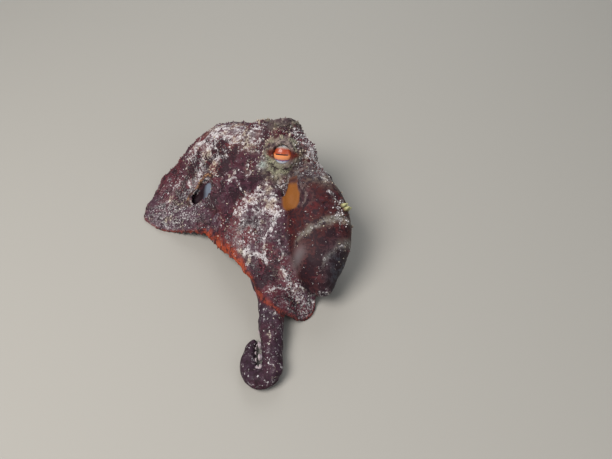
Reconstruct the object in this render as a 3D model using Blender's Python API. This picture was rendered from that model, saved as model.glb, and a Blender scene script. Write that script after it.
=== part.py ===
"""A still, life-size gloomy octopus that sits on a flat floor with its web spread over its arms.

Metres, +Z up. The animal faces -X, its left side faces -Y, and its mantle has slumped to its left rear.
"""

import math

import bmesh
import bpy
import numpy as np
from mathutils import Matrix, Vector

# Driving sizes
EYEBALL_RADIUS = 0.0076
ARM_ROOT_RADIUS = 0.0092
ARM_TIP_RADIUS = 0.0009
ARM_TAPER = 0.78
ARM_START = 0.0085
# Greatest height of each arm's centre, lower where the head and the mantle lie over it.
ARM_CEILING = {
    "l1": 0.033, "l2": 0.033, "l3": 0.028, "l4": 0.016, "r4": 0.016, "r3": 0.022, "r2": 0.031, "r1": 0.034,
}
WEB_THICKNESS = 0.0016
GAP = 0.0003
# How far apart the samples of an arm's centreline lie.
SAMPLE = 0.001

# The crown is where the eight arms meet, and the web is a dome over them, lowest at its margin.
CROWN = (-0.004, 0.022)
CROWN_TOP = 0.050
ARM_RIDGE = 0.0034

# How far the web's margin lies from the crown, in metres, by azimuth in degrees (0 is +X, 90 is +Y).
WEB_REACH = {
    5: 0.036, 30: 0.037, 52: 0.043, 72: 0.053, 92: 0.060, 112: 0.069, 130: 0.076, 148: 0.079,
    166: 0.0795, 184: 0.081, 199: 0.058, 214: 0.0445, 231: 0.0465, 249: 0.053, 259: 0.060, 266: 0.069,
    271: 0.079, 278: 0.0875, 286: 0.0880, 293: 0.082, 298: 0.067, 305: 0.048, 318: 0.041, 340: 0.037,
}
# How the dome falls from the crown to the margin: 1 is a cone, and more is a dome with a steep rim.
WEB_FALL = {
    0: 3.0, 60: 3.6, 90: 4.4, 115: 5.2, 132: 5.0, 147: 3.4, 162: 1.3, 178: 0.85,
    195: 0.90, 225: 1.6, 281: 1.8, 320: 2.4,
}

# Each arm: azimuth at the crown and at the web's margin, how far it follows the web (share of the
# reach), then its free run as (length in metres, turn in degrees, left is positive), in order.
ARMS = {
    "l1": (202.5, 180, 0.62, [(0.003, 0), (0.025, -184), (0.026, 3), (0.014, 20), (0.012, 70)]),
    "l2": (247.5, 281.5, 0.80, [
        (0.018, -21), (0.036, 2), (0.021, -178), (0.012, -12), (0.008, -30),
    ]),
    "l3": (292.5, 287, 0.66, [(0.004, 0), (0.023, 180), (0.022, 4), (0.016, -10)]),
    "l4": (337.5, 335, 0.70, [(0.012, 0), (0.018, -55), (0.014, -6), (0.006, 0)]),
    "r4": (22.5, 18, 0.72, [(0.008, 0), (0.032, 165), (0.014, 140), (0.005, 50)]),
    "r3": (67.5, 66, 0.90, [(0.005, 0), (0.031, 165), (0.014, 140), (0.005, 50)]),
    "r2": (112.5, 111, 0.80, [(0.004, 0), (0.030, 132), (0.012, 10), (0.012, -60), (0.006, -60)]),
    "r1": (157.5, 142, 0.53, [(0.014, 1), (0.023, 92), (0.018, 130), (0.012, 90)]),
}
# Root radius and taper of the arms that differ from the rest.
ARM_FORMS = {"l1": (0.0085, 0.82), "l2": (0.0100, 0.46)}
ARM_SIDES = 8
ARM_CUTS = (0.33, 0.64)
TIP_ROLL = math.radians(70)

WEB_BLEND = 0.0009
RIDGE_CLEAR = 0.0005
RIDGE_WIDTH = 2.2
WEB_COLUMNS = 8
WEB_COLUMN_ANGLE = 8.5
WEB_ROWS = 10
CROWN_INNER_SHARE = 0.10

# The head: a middle, and lobes as (middle, radii) that a smooth largest-of joins.
HEAD_CENTRE = (0.009, 0.0325, 0.045)
EYE_CENTRES = {"eye_left": (0.0083, 0.0235, 0.0553), "eye_right": (0.0083, 0.0415, 0.0553)}
EYE_AXES = {"eye_left": (-0.10, -0.80, 0.59), "eye_right": (-0.10, 0.80, 0.59)}
EYE_OPENING = (0.0062, 0.0060, 0.0044)
HEAD_LOBES = [
    ((0.009, 0.0325, 0.043), (0.0165, 0.0150, 0.0170)),
    ((0.0083, 0.0240, 0.0548), (0.0120, 0.0104, 0.0104)),
    ((0.0083, 0.0410, 0.0548), (0.0120, 0.0104, 0.0104)),
    ((0.0165, 0.0285, 0.044), (0.0130, 0.0130, 0.0140)),
    ((0.000, 0.0280, 0.038), (0.0140, 0.0150, 0.0130)),
    ((-0.0035, 0.0235, 0.0385), (0.0110, 0.0110, 0.0120)),
    ((0.0075, 0.0160, 0.0370), (0.0110, 0.0120, 0.0125)),
    ((-0.0060, 0.0410, 0.0480), (0.0130, 0.0130, 0.0145)),
]

HEAD_ROWS = 18
HEAD_COLUMNS = 28

# The mantle's route from the neck to its end: x, y, z, half width, half height.
MANTLE_STATIONS = [
    (0.0190, 0.0330, 0.0430, 0.0080, 0.0080),
    (0.0195, 0.0245, 0.0412, 0.0110, 0.0120),
    (0.0232, 0.0110, 0.0380, 0.0146, 0.0154),
    (0.0285, -0.0060, 0.0335, 0.0190, 0.0172),
    (0.0300, -0.0220, 0.0275, 0.0190, 0.0168),
    (0.0300, -0.0370, 0.0205, 0.0150, 0.0150),
    (0.0310, -0.0490, 0.0140, 0.0070, 0.0080),
]
MANTLE_RINGS = 20
MANTLE_SIDES = 22

FUNNEL_BASE = (0.0154, -0.0100, 0.0396)
FUNNEL_MOUTH = (0.0142, 0.0062, 0.0488)
FUNNEL_WIDE = 0.0064
FUNNEL_NARROW = 0.0029
FUNNEL_SIDES = 16

# The gap between the first two left-hand arms, cut through the web as an ellipse seen from above.
HOLE_WEB = ("r1", "l1")
HOLE_CENTRE = (-0.0455, 0.0208, 0.0240)
HOLE_RADII = (0.0085, 0.0066, 0.0120)
HOLE_TURN = math.radians(7)

# The point of the floor below the middle of the whole animal's box, which becomes the origin.
BOX_MIDDLE = (-0.01864, -0.00839)

SUCKER_SIDES = 6
SUCKER_ANGLE = math.radians(34)
SUCKER_RADIUS = 0.44
SUCKER_HEIGHT = 0.26
SUCKER_STEP = 1.15
SUCKER_LEAST_STEP = 0.0034
SUCKER_START = 0.014

SKIN = ("octopus_skin", (0.12, 0.045, 0.05, 1), 0.45, 0.0)
EYE = ("octopus_eye", (0.75, 0.24, 0.08, 1), 0.12, 0.0)
FUNNEL = ("octopus_funnel", (0.72, 0.33, 0.05, 1), 0.40, 0.0)


def clear_scene():
    for obj in list(bpy.data.objects):
        bpy.data.objects.remove(obj, do_unlink=True)


def material_of(finish):
    """The Principled material of a finish: (name, colour, roughness, metallic)."""
    name, colour, roughness, metallic = finish
    material = bpy.data.materials.get(name)
    if material is None:
        material = bpy.data.materials.new(name)
        material.use_nodes = True
        shader = material.node_tree.nodes["Principled BSDF"]
        shader.inputs["Base Color"].default_value = colour
        shader.inputs["Roughness"].default_value = roughness
        shader.inputs["Metallic"].default_value = metallic
    return material


def make_object(name, points, faces, finish, collection):
    """A mesh object from points and faces, shaded smooth, each quad split along its first diagonal."""
    triangles = []
    for face in faces:
        triangles += [(face[0], face[k], face[k + 1]) for k in range(1, len(face) - 1)]
    mesh = bpy.data.meshes.new(name)
    mesh.from_pydata([tuple(p) for p in points], [], triangles)
    mesh.materials.append(material_of(finish))
    mesh.shade_smooth()
    obj = bpy.data.objects.new(name, mesh)
    collection.objects.link(obj)
    return obj


def apply_modifiers(obj):
    graph = bpy.context.evaluated_depsgraph_get()
    mesh = bpy.data.meshes.new_from_object(obj.evaluated_get(graph))
    obj.modifiers.clear()
    obj.data = mesh


def keep_largest(obj):
    """Drops every loose surface but the one with most volume."""
    work = bmesh.new()
    work.from_mesh(obj.data)
    left = set(work.faces)
    shells = []
    while left:
        shell = {left.pop()}
        front = list(shell)
        while front:
            edges = [e for e in front.pop().edges if len(e.link_faces) == 2]
            near = {f for e in edges for f in e.link_faces} & left
            left -= near
            shell |= near
            front.extend(near)
        shells.append(shell)
    if len(shells) > 1:
        def volume(shell):
            corners = (([v.co for v in f.verts]) for f in shell)
            return sum(
                c[0].dot(c[i].cross(c[i + 1])) for c in corners for i in range(1, len(c) - 1)
            )
        largest = max(shells, key=volume)
        bmesh.ops.delete(work, geom=[f for f in work.faces if f not in largest], context="FACES")
    work.to_mesh(obj.data)
    work.free()


def cut(obj, cutters):
    """Cuts closed cutters from obj one after another, and keeps one closed body."""
    low, high = box_of(obj)
    for cutter in cutters:
        cutter_low, cutter_high = box_of(cutter)
        if (cutter_low < high).all() and (cutter_high > low).all():
            step = obj.modifiers.new("cut", "BOOLEAN")
            step.operation = "DIFFERENCE"
            step.object = cutter
            step.solver = "EXACT"
            apply_modifiers(obj)
        bpy.data.objects.remove(cutter, do_unlink=True)
    keep_largest(obj)


def box_of(obj):
    corners = np.array([tuple(vertex.co) for vertex in obj.data.vertices])
    return corners.min(axis=0), corners.max(axis=0)


def fuse(obj, pieces):
    """Joins closed pieces to obj by one union on their collection, and keeps one closed body."""
    group = bpy.data.collections.new("pieces")
    bpy.context.scene.collection.children.link(group)
    for piece in pieces:
        for home in list(piece.users_collection):
            home.objects.unlink(piece)
        group.objects.link(piece)
    step = obj.modifiers.new("fuse", "BOOLEAN")
    step.operation = "UNION"
    step.operand_type = "COLLECTION"
    step.collection = group
    step.solver = "MANIFOLD"
    apply_modifiers(obj)
    for piece in pieces:
        bpy.data.objects.remove(piece, do_unlink=True)
    bpy.data.collections.remove(group)
    keep_largest(obj)


def around(table, azimuth):
    """Smooth closed curve through {azimuth in degrees: value}, read at an array of azimuths."""
    known = np.array(sorted(table), float)
    values = np.array([table[a] for a in known])
    before, after = np.roll(known, 1), np.roll(known, -1)
    before[0] -= 360
    after[-1] += 360
    slopes = (np.roll(values, -1) - np.roll(values, 1)) / (after - before)
    azimuth = np.asarray(azimuth, float) % 360
    first = (np.searchsorted(known, azimuth, side="right") - 1) % len(known)
    second = (first + 1) % len(known)
    width = (known[second] - known[first]) % 360
    t = ((azimuth - known[first]) % 360) / width
    return (
        values[first] * (1 + 2 * t) * (1 - t) ** 2
        + slopes[first] * width * t * (1 - t) ** 2
        + values[second] * t**2 * (3 - 2 * t)
        + slopes[second] * width * t**2 * (t - 1)
    )


def dome(x, y):
    """Height of the web's dome above the floor: the crown's height times 1 - q ** fall."""
    dx, dy = x - CROWN[0], y - CROWN[1]
    azimuth = np.degrees(np.arctan2(dy, dx))
    q = np.clip(np.hypot(dx, dy) / around(WEB_REACH, azimuth), 0, 1)
    return CROWN_TOP * (1 - q ** around(WEB_FALL, azimuth))


def seam(name, q):
    """Plan position of an arm under the web at the share q of the reach.

    The azimuth eases from the crown's to the margin's.
    """
    root, margin, _, _ = ARMS[name]
    azimuth = root + ((margin - root + 180) % 360 - 180) * q**1.4
    reach = around(WEB_REACH, azimuth) * q
    angle = np.radians(azimuth)
    return np.stack([CROWN[0] + reach * np.cos(angle), CROWN[1] + reach * np.sin(angle)], -1)


def arm_plan(name):
    """Points of an arm seen from above, a sample apart: its run under the web, then its free arcs."""
    root, _, share, runs = ARMS[name]
    inner = seam(name, np.linspace(ARM_START / around(WEB_REACH, root), share, 400))
    along = np.concatenate([[0], np.cumsum(np.linalg.norm(np.diff(inner, axis=0), axis=1))])
    even = np.arange(0, along[-1], SAMPLE)
    points = [tuple(p) for p in np.stack([np.interp(even, along, inner[:, i]) for i in (0, 1)], -1)]
    inner_length = along[-1]
    last = inner[-1] - inner[-2]
    heading = math.atan2(last[1], last[0])
    x, y = points[-1]
    for length, turn in runs:
        count = round(length / SAMPLE)
        for _ in range(count):
            heading += math.radians(turn) / count
            x += SAMPLE * math.cos(heading)
            y += SAMPLE * math.sin(heading)
            points.append((x, y))
    return np.array(points), inner_length, sum(turn for _, turn in runs)


def smooth_step(t):
    t = np.clip(t, 0, 1)
    return t * t * (3 - 2 * t)


def eased(values, width):
    """Moving average over width samples, with the ends held."""
    padded = np.concatenate([[values[0]] * width, values, [values[-1]] * width])
    kernel = np.ones(2 * width + 1) / (2 * width + 1)
    return np.convolve(padded, kernel, "valid")


def crown_room(name, plan, inner):
    """How far each sample may widen before it meets the next arms at the crown."""
    order = list(ARMS)
    place = order.index(name)
    room = np.ones(len(plan))
    near = np.arange(len(plan)) * SAMPLE < inner
    for neighbour in (order[place - 1], order[(place + 1) % len(order)]):
        other, other_inner, _ = arm_plan(neighbour)
        other = other[:int(other_inner / SAMPLE)]
        gap = np.linalg.norm(plan[:, None] - other[None], axis=2).min(axis=1)
        room = np.where(near, np.minimum(room, 0.5 * gap - 0.7 * GAP), room)
    return room


class Arm:
    """One arm's centreline, radii and frame, sampled every millimetre from crown to tip."""

    def __init__(self, name):
        plan, inner, turned = arm_plan(name)
        count = len(plan)
        share = np.arange(count) / (count - 1)
        self.name = name
        self.length = SAMPLE * (count - 1)
        root, taper = ARM_FORMS.get(name, (ARM_ROOT_RADIUS, ARM_TAPER))
        self.radius = ARM_TIP_RADIUS + (root - ARM_TIP_RADIUS) * (1 - share) ** taper
        self.half_width = np.minimum(self.radius, np.maximum(crown_room(name, plan, inner), 0.0016))
        self.roll = TIP_ROLL * smooth_step((share - 0.45) / 0.45) * (-1 if turned > 0 else 1)
        standoff = SUCKER_HEIGHT * self.radius * np.cos(self.roll) ** 2
        resting = self.radius + standoff - 0.0002
        hung = dome(plan[:, 0], plan[:, 1]) - WEB_THICKNESS - GAP - self.radius + ARM_RIDGE
        hung = np.minimum(hung, ARM_CEILING[name])
        under_web = 1 - smooth_step((np.arange(count) * SAMPLE - inner + 0.012) / 0.020)
        height = resting + np.maximum(hung - resting, 0) * under_web
        height = np.maximum(eased(eased(height, 6), 4), resting)
        self.points = np.column_stack([plan, height])
        ahead = np.gradient(self.points, axis=0)
        self.ahead = ahead / np.linalg.norm(ahead, axis=1)[:, None]
        side = np.cross(self.ahead, [0, 0, 1.0])
        self.side = side / np.linalg.norm(side, axis=1)[:, None]
        self.up = np.cross(self.side, self.ahead)

    def sample_at(self, position):
        """Number of the sample at a distance along the arm."""
        return min(int(position / SAMPLE), len(self.radius) - 1)

    def at(self, index, angle):
        """Outward direction and surface point at a sample, for an angle from the side towards up."""
        across, high = math.cos(angle), math.sin(angle)
        out = self.side[index] * across + self.up[index] * high
        reach = self.side[index] * across * self.half_width[index]
        reach = reach + self.up[index] * high * self.radius[index]
        return out, self.points[index] + reach


def ring_samples(arm, first, last):
    """Sample numbers of an arm's rings, about one radius apart, from first to last."""
    chosen = [first]
    while chosen[-1] < last:
        spacing = max(0.0028, 0.9 * arm.radius[chosen[-1]])
        chosen.append(chosen[-1] + max(1, round(spacing / SAMPLE)))
    if len(chosen) > 2 and last - chosen[-2] < 0.5 * (chosen[-1] - chosen[-2]):
        chosen.pop()
    chosen[-1] = last
    return chosen


def arm_tube(arm, first, last, pointed, grow=0.0):
    """Points and faces of an arm's length: elliptic rings carried along the centreline, closed by fans."""
    rings = ring_samples(arm, first, last)
    angles = np.arange(ARM_SIDES) * 2 * math.pi / ARM_SIDES + math.pi / ARM_SIDES
    points = []
    for i in rings:
        wide, high = arm.half_width[i] + grow, arm.radius[i] + grow
        offset = np.outer(np.cos(angles) * wide, arm.side[i]) + np.outer(np.sin(angles) * high, arm.up[i])
        points.append(arm.points[i] + offset)
    points[0] -= arm.ahead[rings[0]] * grow
    points[-1] += arm.ahead[rings[-1]] * grow
    start = arm.points[rings[0]] - arm.ahead[rings[0]] * grow
    end_reach = arm.radius[rings[-1]] * 1.6 if pointed else 0
    end = arm.points[rings[-1]] + arm.ahead[rings[-1]] * (end_reach + grow)
    points = np.concatenate([*points, [start, end]])
    faces = []
    for ring in range(len(rings) - 1):
        for k in range(ARM_SIDES):
            a, b = ring * ARM_SIDES + k, ring * ARM_SIDES + (k + 1) % ARM_SIDES
            faces.append((a, a + ARM_SIDES, b + ARM_SIDES, b))
    last_ring = (len(rings) - 1) * ARM_SIDES
    for k in range(ARM_SIDES):
        faces.append((len(points) - 2, k, (k + 1) % ARM_SIDES))
        faces.append((len(points) - 1, last_ring + (k + 1) % ARM_SIDES, last_ring + k))
    return points, faces


def grid_faces(rows, columns, closed):
    """Quads of a grid of points laid row after row, whose rows may close on themselves."""
    faces = []
    for row in range(rows - 1):
        for k in range(columns if closed else columns - 1):
            a, b = row * columns + k, row * columns + (k + 1) % columns
            faces.append((a, b, b + columns, a + columns))
    return faces


def capped_tube(rings):
    """Points and faces of a tube through rings of points (ring, side, xyz), closed by a fan at each end."""
    count, sides = rings.shape[:2]
    ends = [rings[0].mean(axis=0), rings[-1].mean(axis=0)]
    points = np.concatenate([rings.reshape(-1, 3), ends])
    faces = grid_faces(count, sides, True)
    last = (count - 1) * sides
    for k in range(sides):
        faces.append((len(points) - 2, (k + 1) % sides, k))
        faces.append((len(points) - 1, last + k, last + (k + 1) % sides))
    return points, faces


def sphere_directions(rows, columns):
    """Unit directions on rows of latitude, without the poles, which the fans close."""
    latitude = np.linspace(-math.pi / 2, math.pi / 2, rows + 2)[1:-1]
    longitude = np.arange(columns) * 2 * math.pi / columns
    return np.stack([
        np.outer(np.cos(latitude), np.cos(longitude)),
        np.outer(np.cos(latitude), np.sin(longitude)),
        np.outer(np.sin(latitude), np.ones(columns)),
    ], -1)


def head_radius(directions, centre, lobes, grow=0.0):
    """How far the outside lies from the centre: the smooth largest of the lobes' far sides."""
    total = np.zeros(directions.shape[:-1])
    for middle, radii in lobes:
        offset = (np.array(middle) - centre) / radii
        scaled = directions / np.array(radii)
        a = (scaled**2).sum(-1)
        b = (scaled * offset).sum(-1)
        c = (offset**2).sum() - 1
        reach = (b + np.sqrt(np.maximum(b * b - a * c, 0))) / a
        reach = np.where(b * b > a * c, np.maximum(reach, 0), 0)
        total += (reach * 1000) ** 9
    return total ** (1 / 9) / 1000 + grow


def make_head(name, collection, grow=0.0):
    directions = sphere_directions(HEAD_ROWS, HEAD_COLUMNS)
    centre = np.array(HEAD_CENTRE)
    reach = head_radius(directions, centre, HEAD_LOBES, grow)
    rings = centre + directions * reach[..., None]
    points, faces = capped_tube(rings)
    poles = head_radius(np.array([[0, 0, -1.0], [0, 0, 1.0]]), centre, HEAD_LOBES, grow)
    points[-2] = centre + np.array([0, 0, -poles[0]])
    points[-1] = centre + np.array([0, 0, poles[1]])
    return make_object(name, points, faces, SKIN, collection)


def make_ball(name, centre, radii, turn, finish, collection, rows=10, columns=16):
    """An ellipsoid about a centre, turned by a matrix."""
    directions = sphere_directions(rows, columns)
    points, faces = capped_tube(directions)
    points[-2:] = [(0, 0, -1), (0, 0, 1)]
    turned = (points * np.array(radii)) @ np.array(turn.to_3x3()).T + np.array(centre)
    return make_object(name, turned, faces, finish, collection)


def smooth_route(stations, count):
    """Catmull-Rom curve through rows of numbers, read at count even shares of its length."""
    rows = np.array(stations, float)
    padded = np.concatenate([[2 * rows[0] - rows[1]], rows, [2 * rows[-1] - rows[-2]]])
    fine = []
    for i in range(len(rows) - 1):
        a, b, c, d = padded[i:i + 4]
        t = np.linspace(0, 1, 40, endpoint=False)[:, None]
        bend, twist = 2 * a - 5 * b + 4 * c - d, 3 * b - a - 3 * c + d
        fine.append(0.5 * (2 * b + (c - a) * t + bend * t**2 + twist * t**3))
    fine = np.concatenate([*fine, rows[-1:]])
    along = np.concatenate([[0], np.cumsum(np.linalg.norm(np.diff(fine[:, :3], axis=0), axis=1))])
    even = np.linspace(0, along[-1], count)
    return np.stack([np.interp(even, along, fine[:, i]) for i in range(rows.shape[1])], -1)


def bag(stations, count, sides, grow=0.0):
    """Rings of a bag along a route of (x, y, z, half width, half height), rounded at both ends."""
    route = smooth_route(stations, 200)
    even = 0.5 - 0.5 * np.cos(np.linspace(0.10, math.pi - 0.06, count))
    picked = np.round(even * 199).astype(int)
    ahead = np.gradient(route[:, :3], axis=0)
    ahead /= np.linalg.norm(ahead, axis=1)[:, None]
    side = np.cross(ahead, [0, 0, 1.0])
    side /= np.linalg.norm(side, axis=1)[:, None]
    up = np.cross(side, ahead)
    angles = -np.arange(sides) * 2 * math.pi / sides
    rings = []
    for i in picked:
        ring = route[i, :3] + np.outer(np.cos(angles) * (route[i, 3] + grow), side[i])
        ring = ring + np.outer(np.sin(angles) * (route[i, 4] + grow), up[i])
        rings.append(ring)
    return np.array(rings)


def make_mantle(name, collection, grow=0.0):
    points, faces = capped_tube(bag(MANTLE_STATIONS, MANTLE_RINGS, MANTLE_SIDES, grow))
    return make_object(name, points, faces, SKIN, collection)


def make_funnel(name, collection, grow=0.0):
    """A bell-shaped tube, wide at the mantle, with an open bore in its narrow end."""
    base, mouth = Vector(FUNNEL_BASE), Vector(FUNNEL_MOUTH)
    axis = (mouth - base).normalized()
    turn = axis.to_track_quat("Z", "Y").to_matrix()
    length = (mouth - base).length
    profile = [
        (0.30 * FUNNEL_WIDE, 0.0), (0.85 * FUNNEL_WIDE, 0.04), (FUNNEL_WIDE, 0.20),
        (0.96 * FUNNEL_WIDE, 0.48), (1.25 * FUNNEL_NARROW, 0.74), (FUNNEL_NARROW, 0.97),
    ]
    if not grow:
        profile += [(0.86 * FUNNEL_NARROW, 1.0), (0.66 * FUNNEL_NARROW, 0.97), (0.60 * FUNNEL_NARROW, 0.62)]
    angles = np.arange(FUNNEL_SIDES) * 2 * math.pi / FUNNEL_SIDES
    rings = []
    for radius, height in profile:
        around_axis = np.stack([np.cos(angles), np.sin(angles), np.zeros(FUNNEL_SIDES)], -1) * (radius + grow)
        around_axis[:, 2] = height * length
        rings.append(around_axis @ np.array(turn).T + np.array(base))
    points, faces = capped_tube(np.array(rings))
    return make_object(name, points, faces, FUNNEL, collection)


def web_bottom(x, y, arms):
    """Height of the web's inside: the dome, lifted over every arm that passes under it."""
    slope_step = 0.0005
    slope = np.hypot(
        (dome(x + slope_step, y) - dome(x - slope_step, y)) / (2 * slope_step),
        (dome(x, y + slope_step) - dome(x, y - slope_step)) / (2 * slope_step),
    )
    thickness = WEB_THICKNESS * np.minimum(np.sqrt(1 + slope**2), 2.6)
    inside = np.maximum(dome(x, y) - thickness, 0)
    height = np.exp(inside / WEB_BLEND)
    for arm in arms:
        offset = np.stack([x, y], -1)[..., None, :] - arm.points[::2, :2]
        size = arm.radius[::2] + GAP + RIDGE_CLEAR
        ridge = arm.points[::2, 2] + size - (offset**2).sum(-1) / (RIDGE_WIDTH * size)
        best = np.maximum(ridge.max(axis=-1), 0)
        height = height + np.exp(best / WEB_BLEND)
    count = len(arms) + 1
    return np.maximum(WEB_BLEND * (np.log(height) - math.log(count)), np.maximum(inside, 0)), thickness


def make_web(name, first, second, arms, collection):
    """The sheet of web between two arms: a grid from seam to seam and from crown to margin."""
    spread = (ARMS[second][1] - ARMS[first][1]) % 360
    columns = max(WEB_COLUMNS, round(spread / WEB_COLUMN_ANGLE))
    shares = np.linspace(0, 1, columns)
    q = np.linspace(0.0, 1, WEB_ROWS) ** 0.8
    rows = []
    for value in q:
        reach_q = max(value, CROWN_INNER_SHARE)
        left, right = seam(first, np.array([reach_q]))[0], seam(second, np.array([reach_q]))[0]
        start = math.atan2(left[1] - CROWN[1], left[0] - CROWN[0])
        end = math.atan2(right[1] - CROWN[1], right[0] - CROWN[0])
        end += 2 * math.pi if end < start else 0
        azimuth = start + (end - start) * shares
        reach = around(WEB_REACH, np.degrees(azimuth)) * reach_q
        angle_gap = 0.5 * GAP / reach
        azimuth = azimuth + angle_gap * (1 - 2 * shares)
        rows.append(np.stack([CROWN[0] + reach * np.cos(azimuth), CROWN[1] + reach * np.sin(azimuth)], -1))
    plan = np.array(rows)
    bottom, thickness = web_bottom(plan[..., 0], plan[..., 1], arms)
    low = np.concatenate([plan, bottom[..., None]], -1)
    high = np.concatenate([plan, (bottom + thickness)[..., None]], -1)
    count = columns * len(q)
    points = np.concatenate([low.reshape(-1, 3), high.reshape(-1, 3)])
    faces = []
    for a, b, c, d in grid_faces(len(q), columns, False):
        faces.append((a, b, c, d))
        faces.append((a + count, d + count, c + count, b + count))
    edge = list(range(columns))
    edge += [row * columns + columns - 1 for row in range(1, len(q))]
    edge += [(len(q) - 1) * columns + k for k in range(columns - 2, -1, -1)]
    edge += [row * columns for row in range(len(q) - 2, 0, -1)]
    for k in range(len(edge)):
        a, b = edge[k], edge[(k + 1) % len(edge)]
        faces.append((b, a, a + count, b + count))
    return make_object(name, points, faces, SKIN, collection)


def sucker_shape(arm, position, row, grow=0.0):
    """Points and faces of one sucker: a short flared cup with a dished face, its root sunk in the arm."""
    index = arm.sample_at(position)
    radius = arm.radius[index]
    angle = -math.pi / 2 + arm.roll[index] + row * SUCKER_ANGLE
    out, base = arm.at(index, angle)
    along = arm.ahead[index]
    across = np.cross(out, along)
    across /= np.linalg.norm(across)
    along = np.cross(across, out)
    size = SUCKER_RADIUS * min(radius, arm.half_width[index])
    rings = []
    for share, height in [(0.80, -0.30), (1.0, SUCKER_HEIGHT)]:
        turn = np.arange(SUCKER_SIDES) * 2 * math.pi / SUCKER_SIDES
        ring = np.outer(np.cos(turn), along) + np.outer(np.sin(turn), across)
        rings.append(base + ring * (size * share + grow) + out * (radius * height + grow))
    dish = SUCKER_HEIGHT if grow else 0.2 * SUCKER_HEIGHT
    points = np.concatenate([*rings, [base - out * radius * 0.30, base + out * (radius * dish + grow)]])
    if not grow:
        points[:, 2] = np.maximum(points[:, 2], 0)
    faces = []
    for k in range(SUCKER_SIDES):
        a, b = k, (k + 1) % SUCKER_SIDES
        faces.append((a, b, b + SUCKER_SIDES, a + SUCKER_SIDES))
        faces.append((len(points) - 2, b, a))
        faces.append((len(points) - 1, a + SUCKER_SIDES, b + SUCKER_SIDES))
    return points, faces


def sucker_places(arm):
    """Distances along an arm at which suckers sit, closer together as it thins, rows in turn."""
    places, position = [], SUCKER_START
    while position < arm.length - SAMPLE:
        places.append(position)
        position += max(SUCKER_STEP * arm.radius[arm.sample_at(position)], SUCKER_LEAST_STEP)
    return places


def make_arm_length(arm, part, first, last, pointed, body, cutters):
    """Makes one named length of an arm with its suckers, and returns their shapes grown by the gap."""
    points, faces = arm_tube(arm, first, last, pointed)
    if first:
        points[:ARM_SIDES] += arm.ahead[first] * GAP
        points[-2] += arm.ahead[first] * GAP
    points[:, 2] = np.maximum(points[:, 2], 0)
    obj = make_object(f"arm_{arm.name}_{part}", points, faces, SKIN, body)
    grown = [arm_tube(arm, first, last, pointed, GAP)]
    cups = []
    for number, place in enumerate(sucker_places(arm)):
        room = 0.55 * arm.radius[arm.sample_at(place)] + GAP
        if first * SAMPLE + room < place and (pointed or place < last * SAMPLE - room):
            row = 1 if number % 2 else -1
            cups.append(make_object(f"sucker_{number}", *sucker_shape(arm, place, row), SKIN, cutters))
            grown.append(sucker_shape(arm, place, row, GAP))
    if cups:
        fuse(obj, cups)
    return grown


def opening_cutter(name, collection):
    axis = Vector(EYE_AXES[name]).normalized()
    turn = axis.to_track_quat("Z", "Y").to_matrix()
    centre = Vector(EYE_CENTRES[name]) + axis * (EYEBALL_RADIUS + 0.0014)
    return make_ball("opening", centre, EYE_OPENING, turn, SKIN, collection, 8, 14)


def build():
    clear_scene()
    body = bpy.data.collections.new("gloomy_octopus")
    cutters = bpy.data.collections.new("cutters")
    bpy.context.scene.collection.children.link(body)
    bpy.context.scene.collection.children.link(cutters)
    arms = {name: Arm(name) for name in ARMS}
    grown_arms = []
    for arm in arms.values():
        last = len(arm.radius) - 1
        cuts = [0, round(ARM_CUTS[0] * last), round(ARM_CUTS[1] * last), last]
        for part, first, end in zip(("base", "middle", "tip"), cuts, cuts[1:]):
            grown_arms += make_arm_length(arm, part, first, end, part == "tip", body, cutters)

    def arm_cutters(obj):
        low, high = box_of(obj)
        near = [
            (points, faces) for points, faces in grown_arms
            if (points.min(axis=0) < high).all() and (points.max(axis=0) > low).all()
        ]
        return [make_object("arm_cutter", points, faces, SKIN, cutters) for points, faces in near]

    level = Matrix.Identity(3)
    head = make_head("head", body)
    for name, centre in EYE_CENTRES.items():
        make_ball(name, centre, (EYEBALL_RADIUS,) * 3, level, EYE, body)
        grown = (EYEBALL_RADIUS + GAP,) * 3
        socket = make_ball("socket", centre, grown, level, SKIN, cutters, 9, 14)
        cut(head, [socket, opening_cutter(name, cutters)])
    cut(head, arm_cutters(head))
    mantle = make_mantle("mantle", body)
    for vertex in mantle.data.vertices:
        vertex.co.z = max(vertex.co.z, 0)
    cut(mantle, [make_head("head_cutter", cutters, GAP), *arm_cutters(mantle)])
    funnel = make_funnel("funnel", body)
    sides = [make_head("head_cutter", cutters, GAP), make_mantle("mantle_cutter", cutters, GAP)]
    cut(funnel, [*sides, *arm_cutters(funnel)])
    order = list(ARMS)
    for first, second in zip(order, order[1:] + order[:1]):
        web = make_web(f"web_{first}_{second}", first, second, arms.values(), body)
        sides = [
            make_head("head_cutter", cutters, GAP), make_mantle("mantle_cutter", cutters, GAP),
            make_funnel("funnel_cutter", cutters, GAP),
        ]
        if (first, second) == HOLE_WEB:
            turn = Matrix.Rotation(HOLE_TURN, 3, "Z")
            sides.append(make_ball("hole_cutter", HOLE_CENTRE, HOLE_RADII, turn, SKIN, cutters, 9, 16))
        cut(web, [*sides, *arm_cutters(web)])
    shift = Matrix.Translation((-BOX_MIDDLE[0], -BOX_MIDDLE[1], 0))
    for obj in body.objects:
        obj.data.transform(shift)
    bpy.data.collections.remove(cutters)


build()
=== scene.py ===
"""The finish of a still, life-size gloomy octopus: its skin, suckers, papillae and eyes.

Metres, +Z up. The animal faces -X, its left side faces -Y, and it sits on a flat floor at height 0.
"""

import itertools
import math

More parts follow.
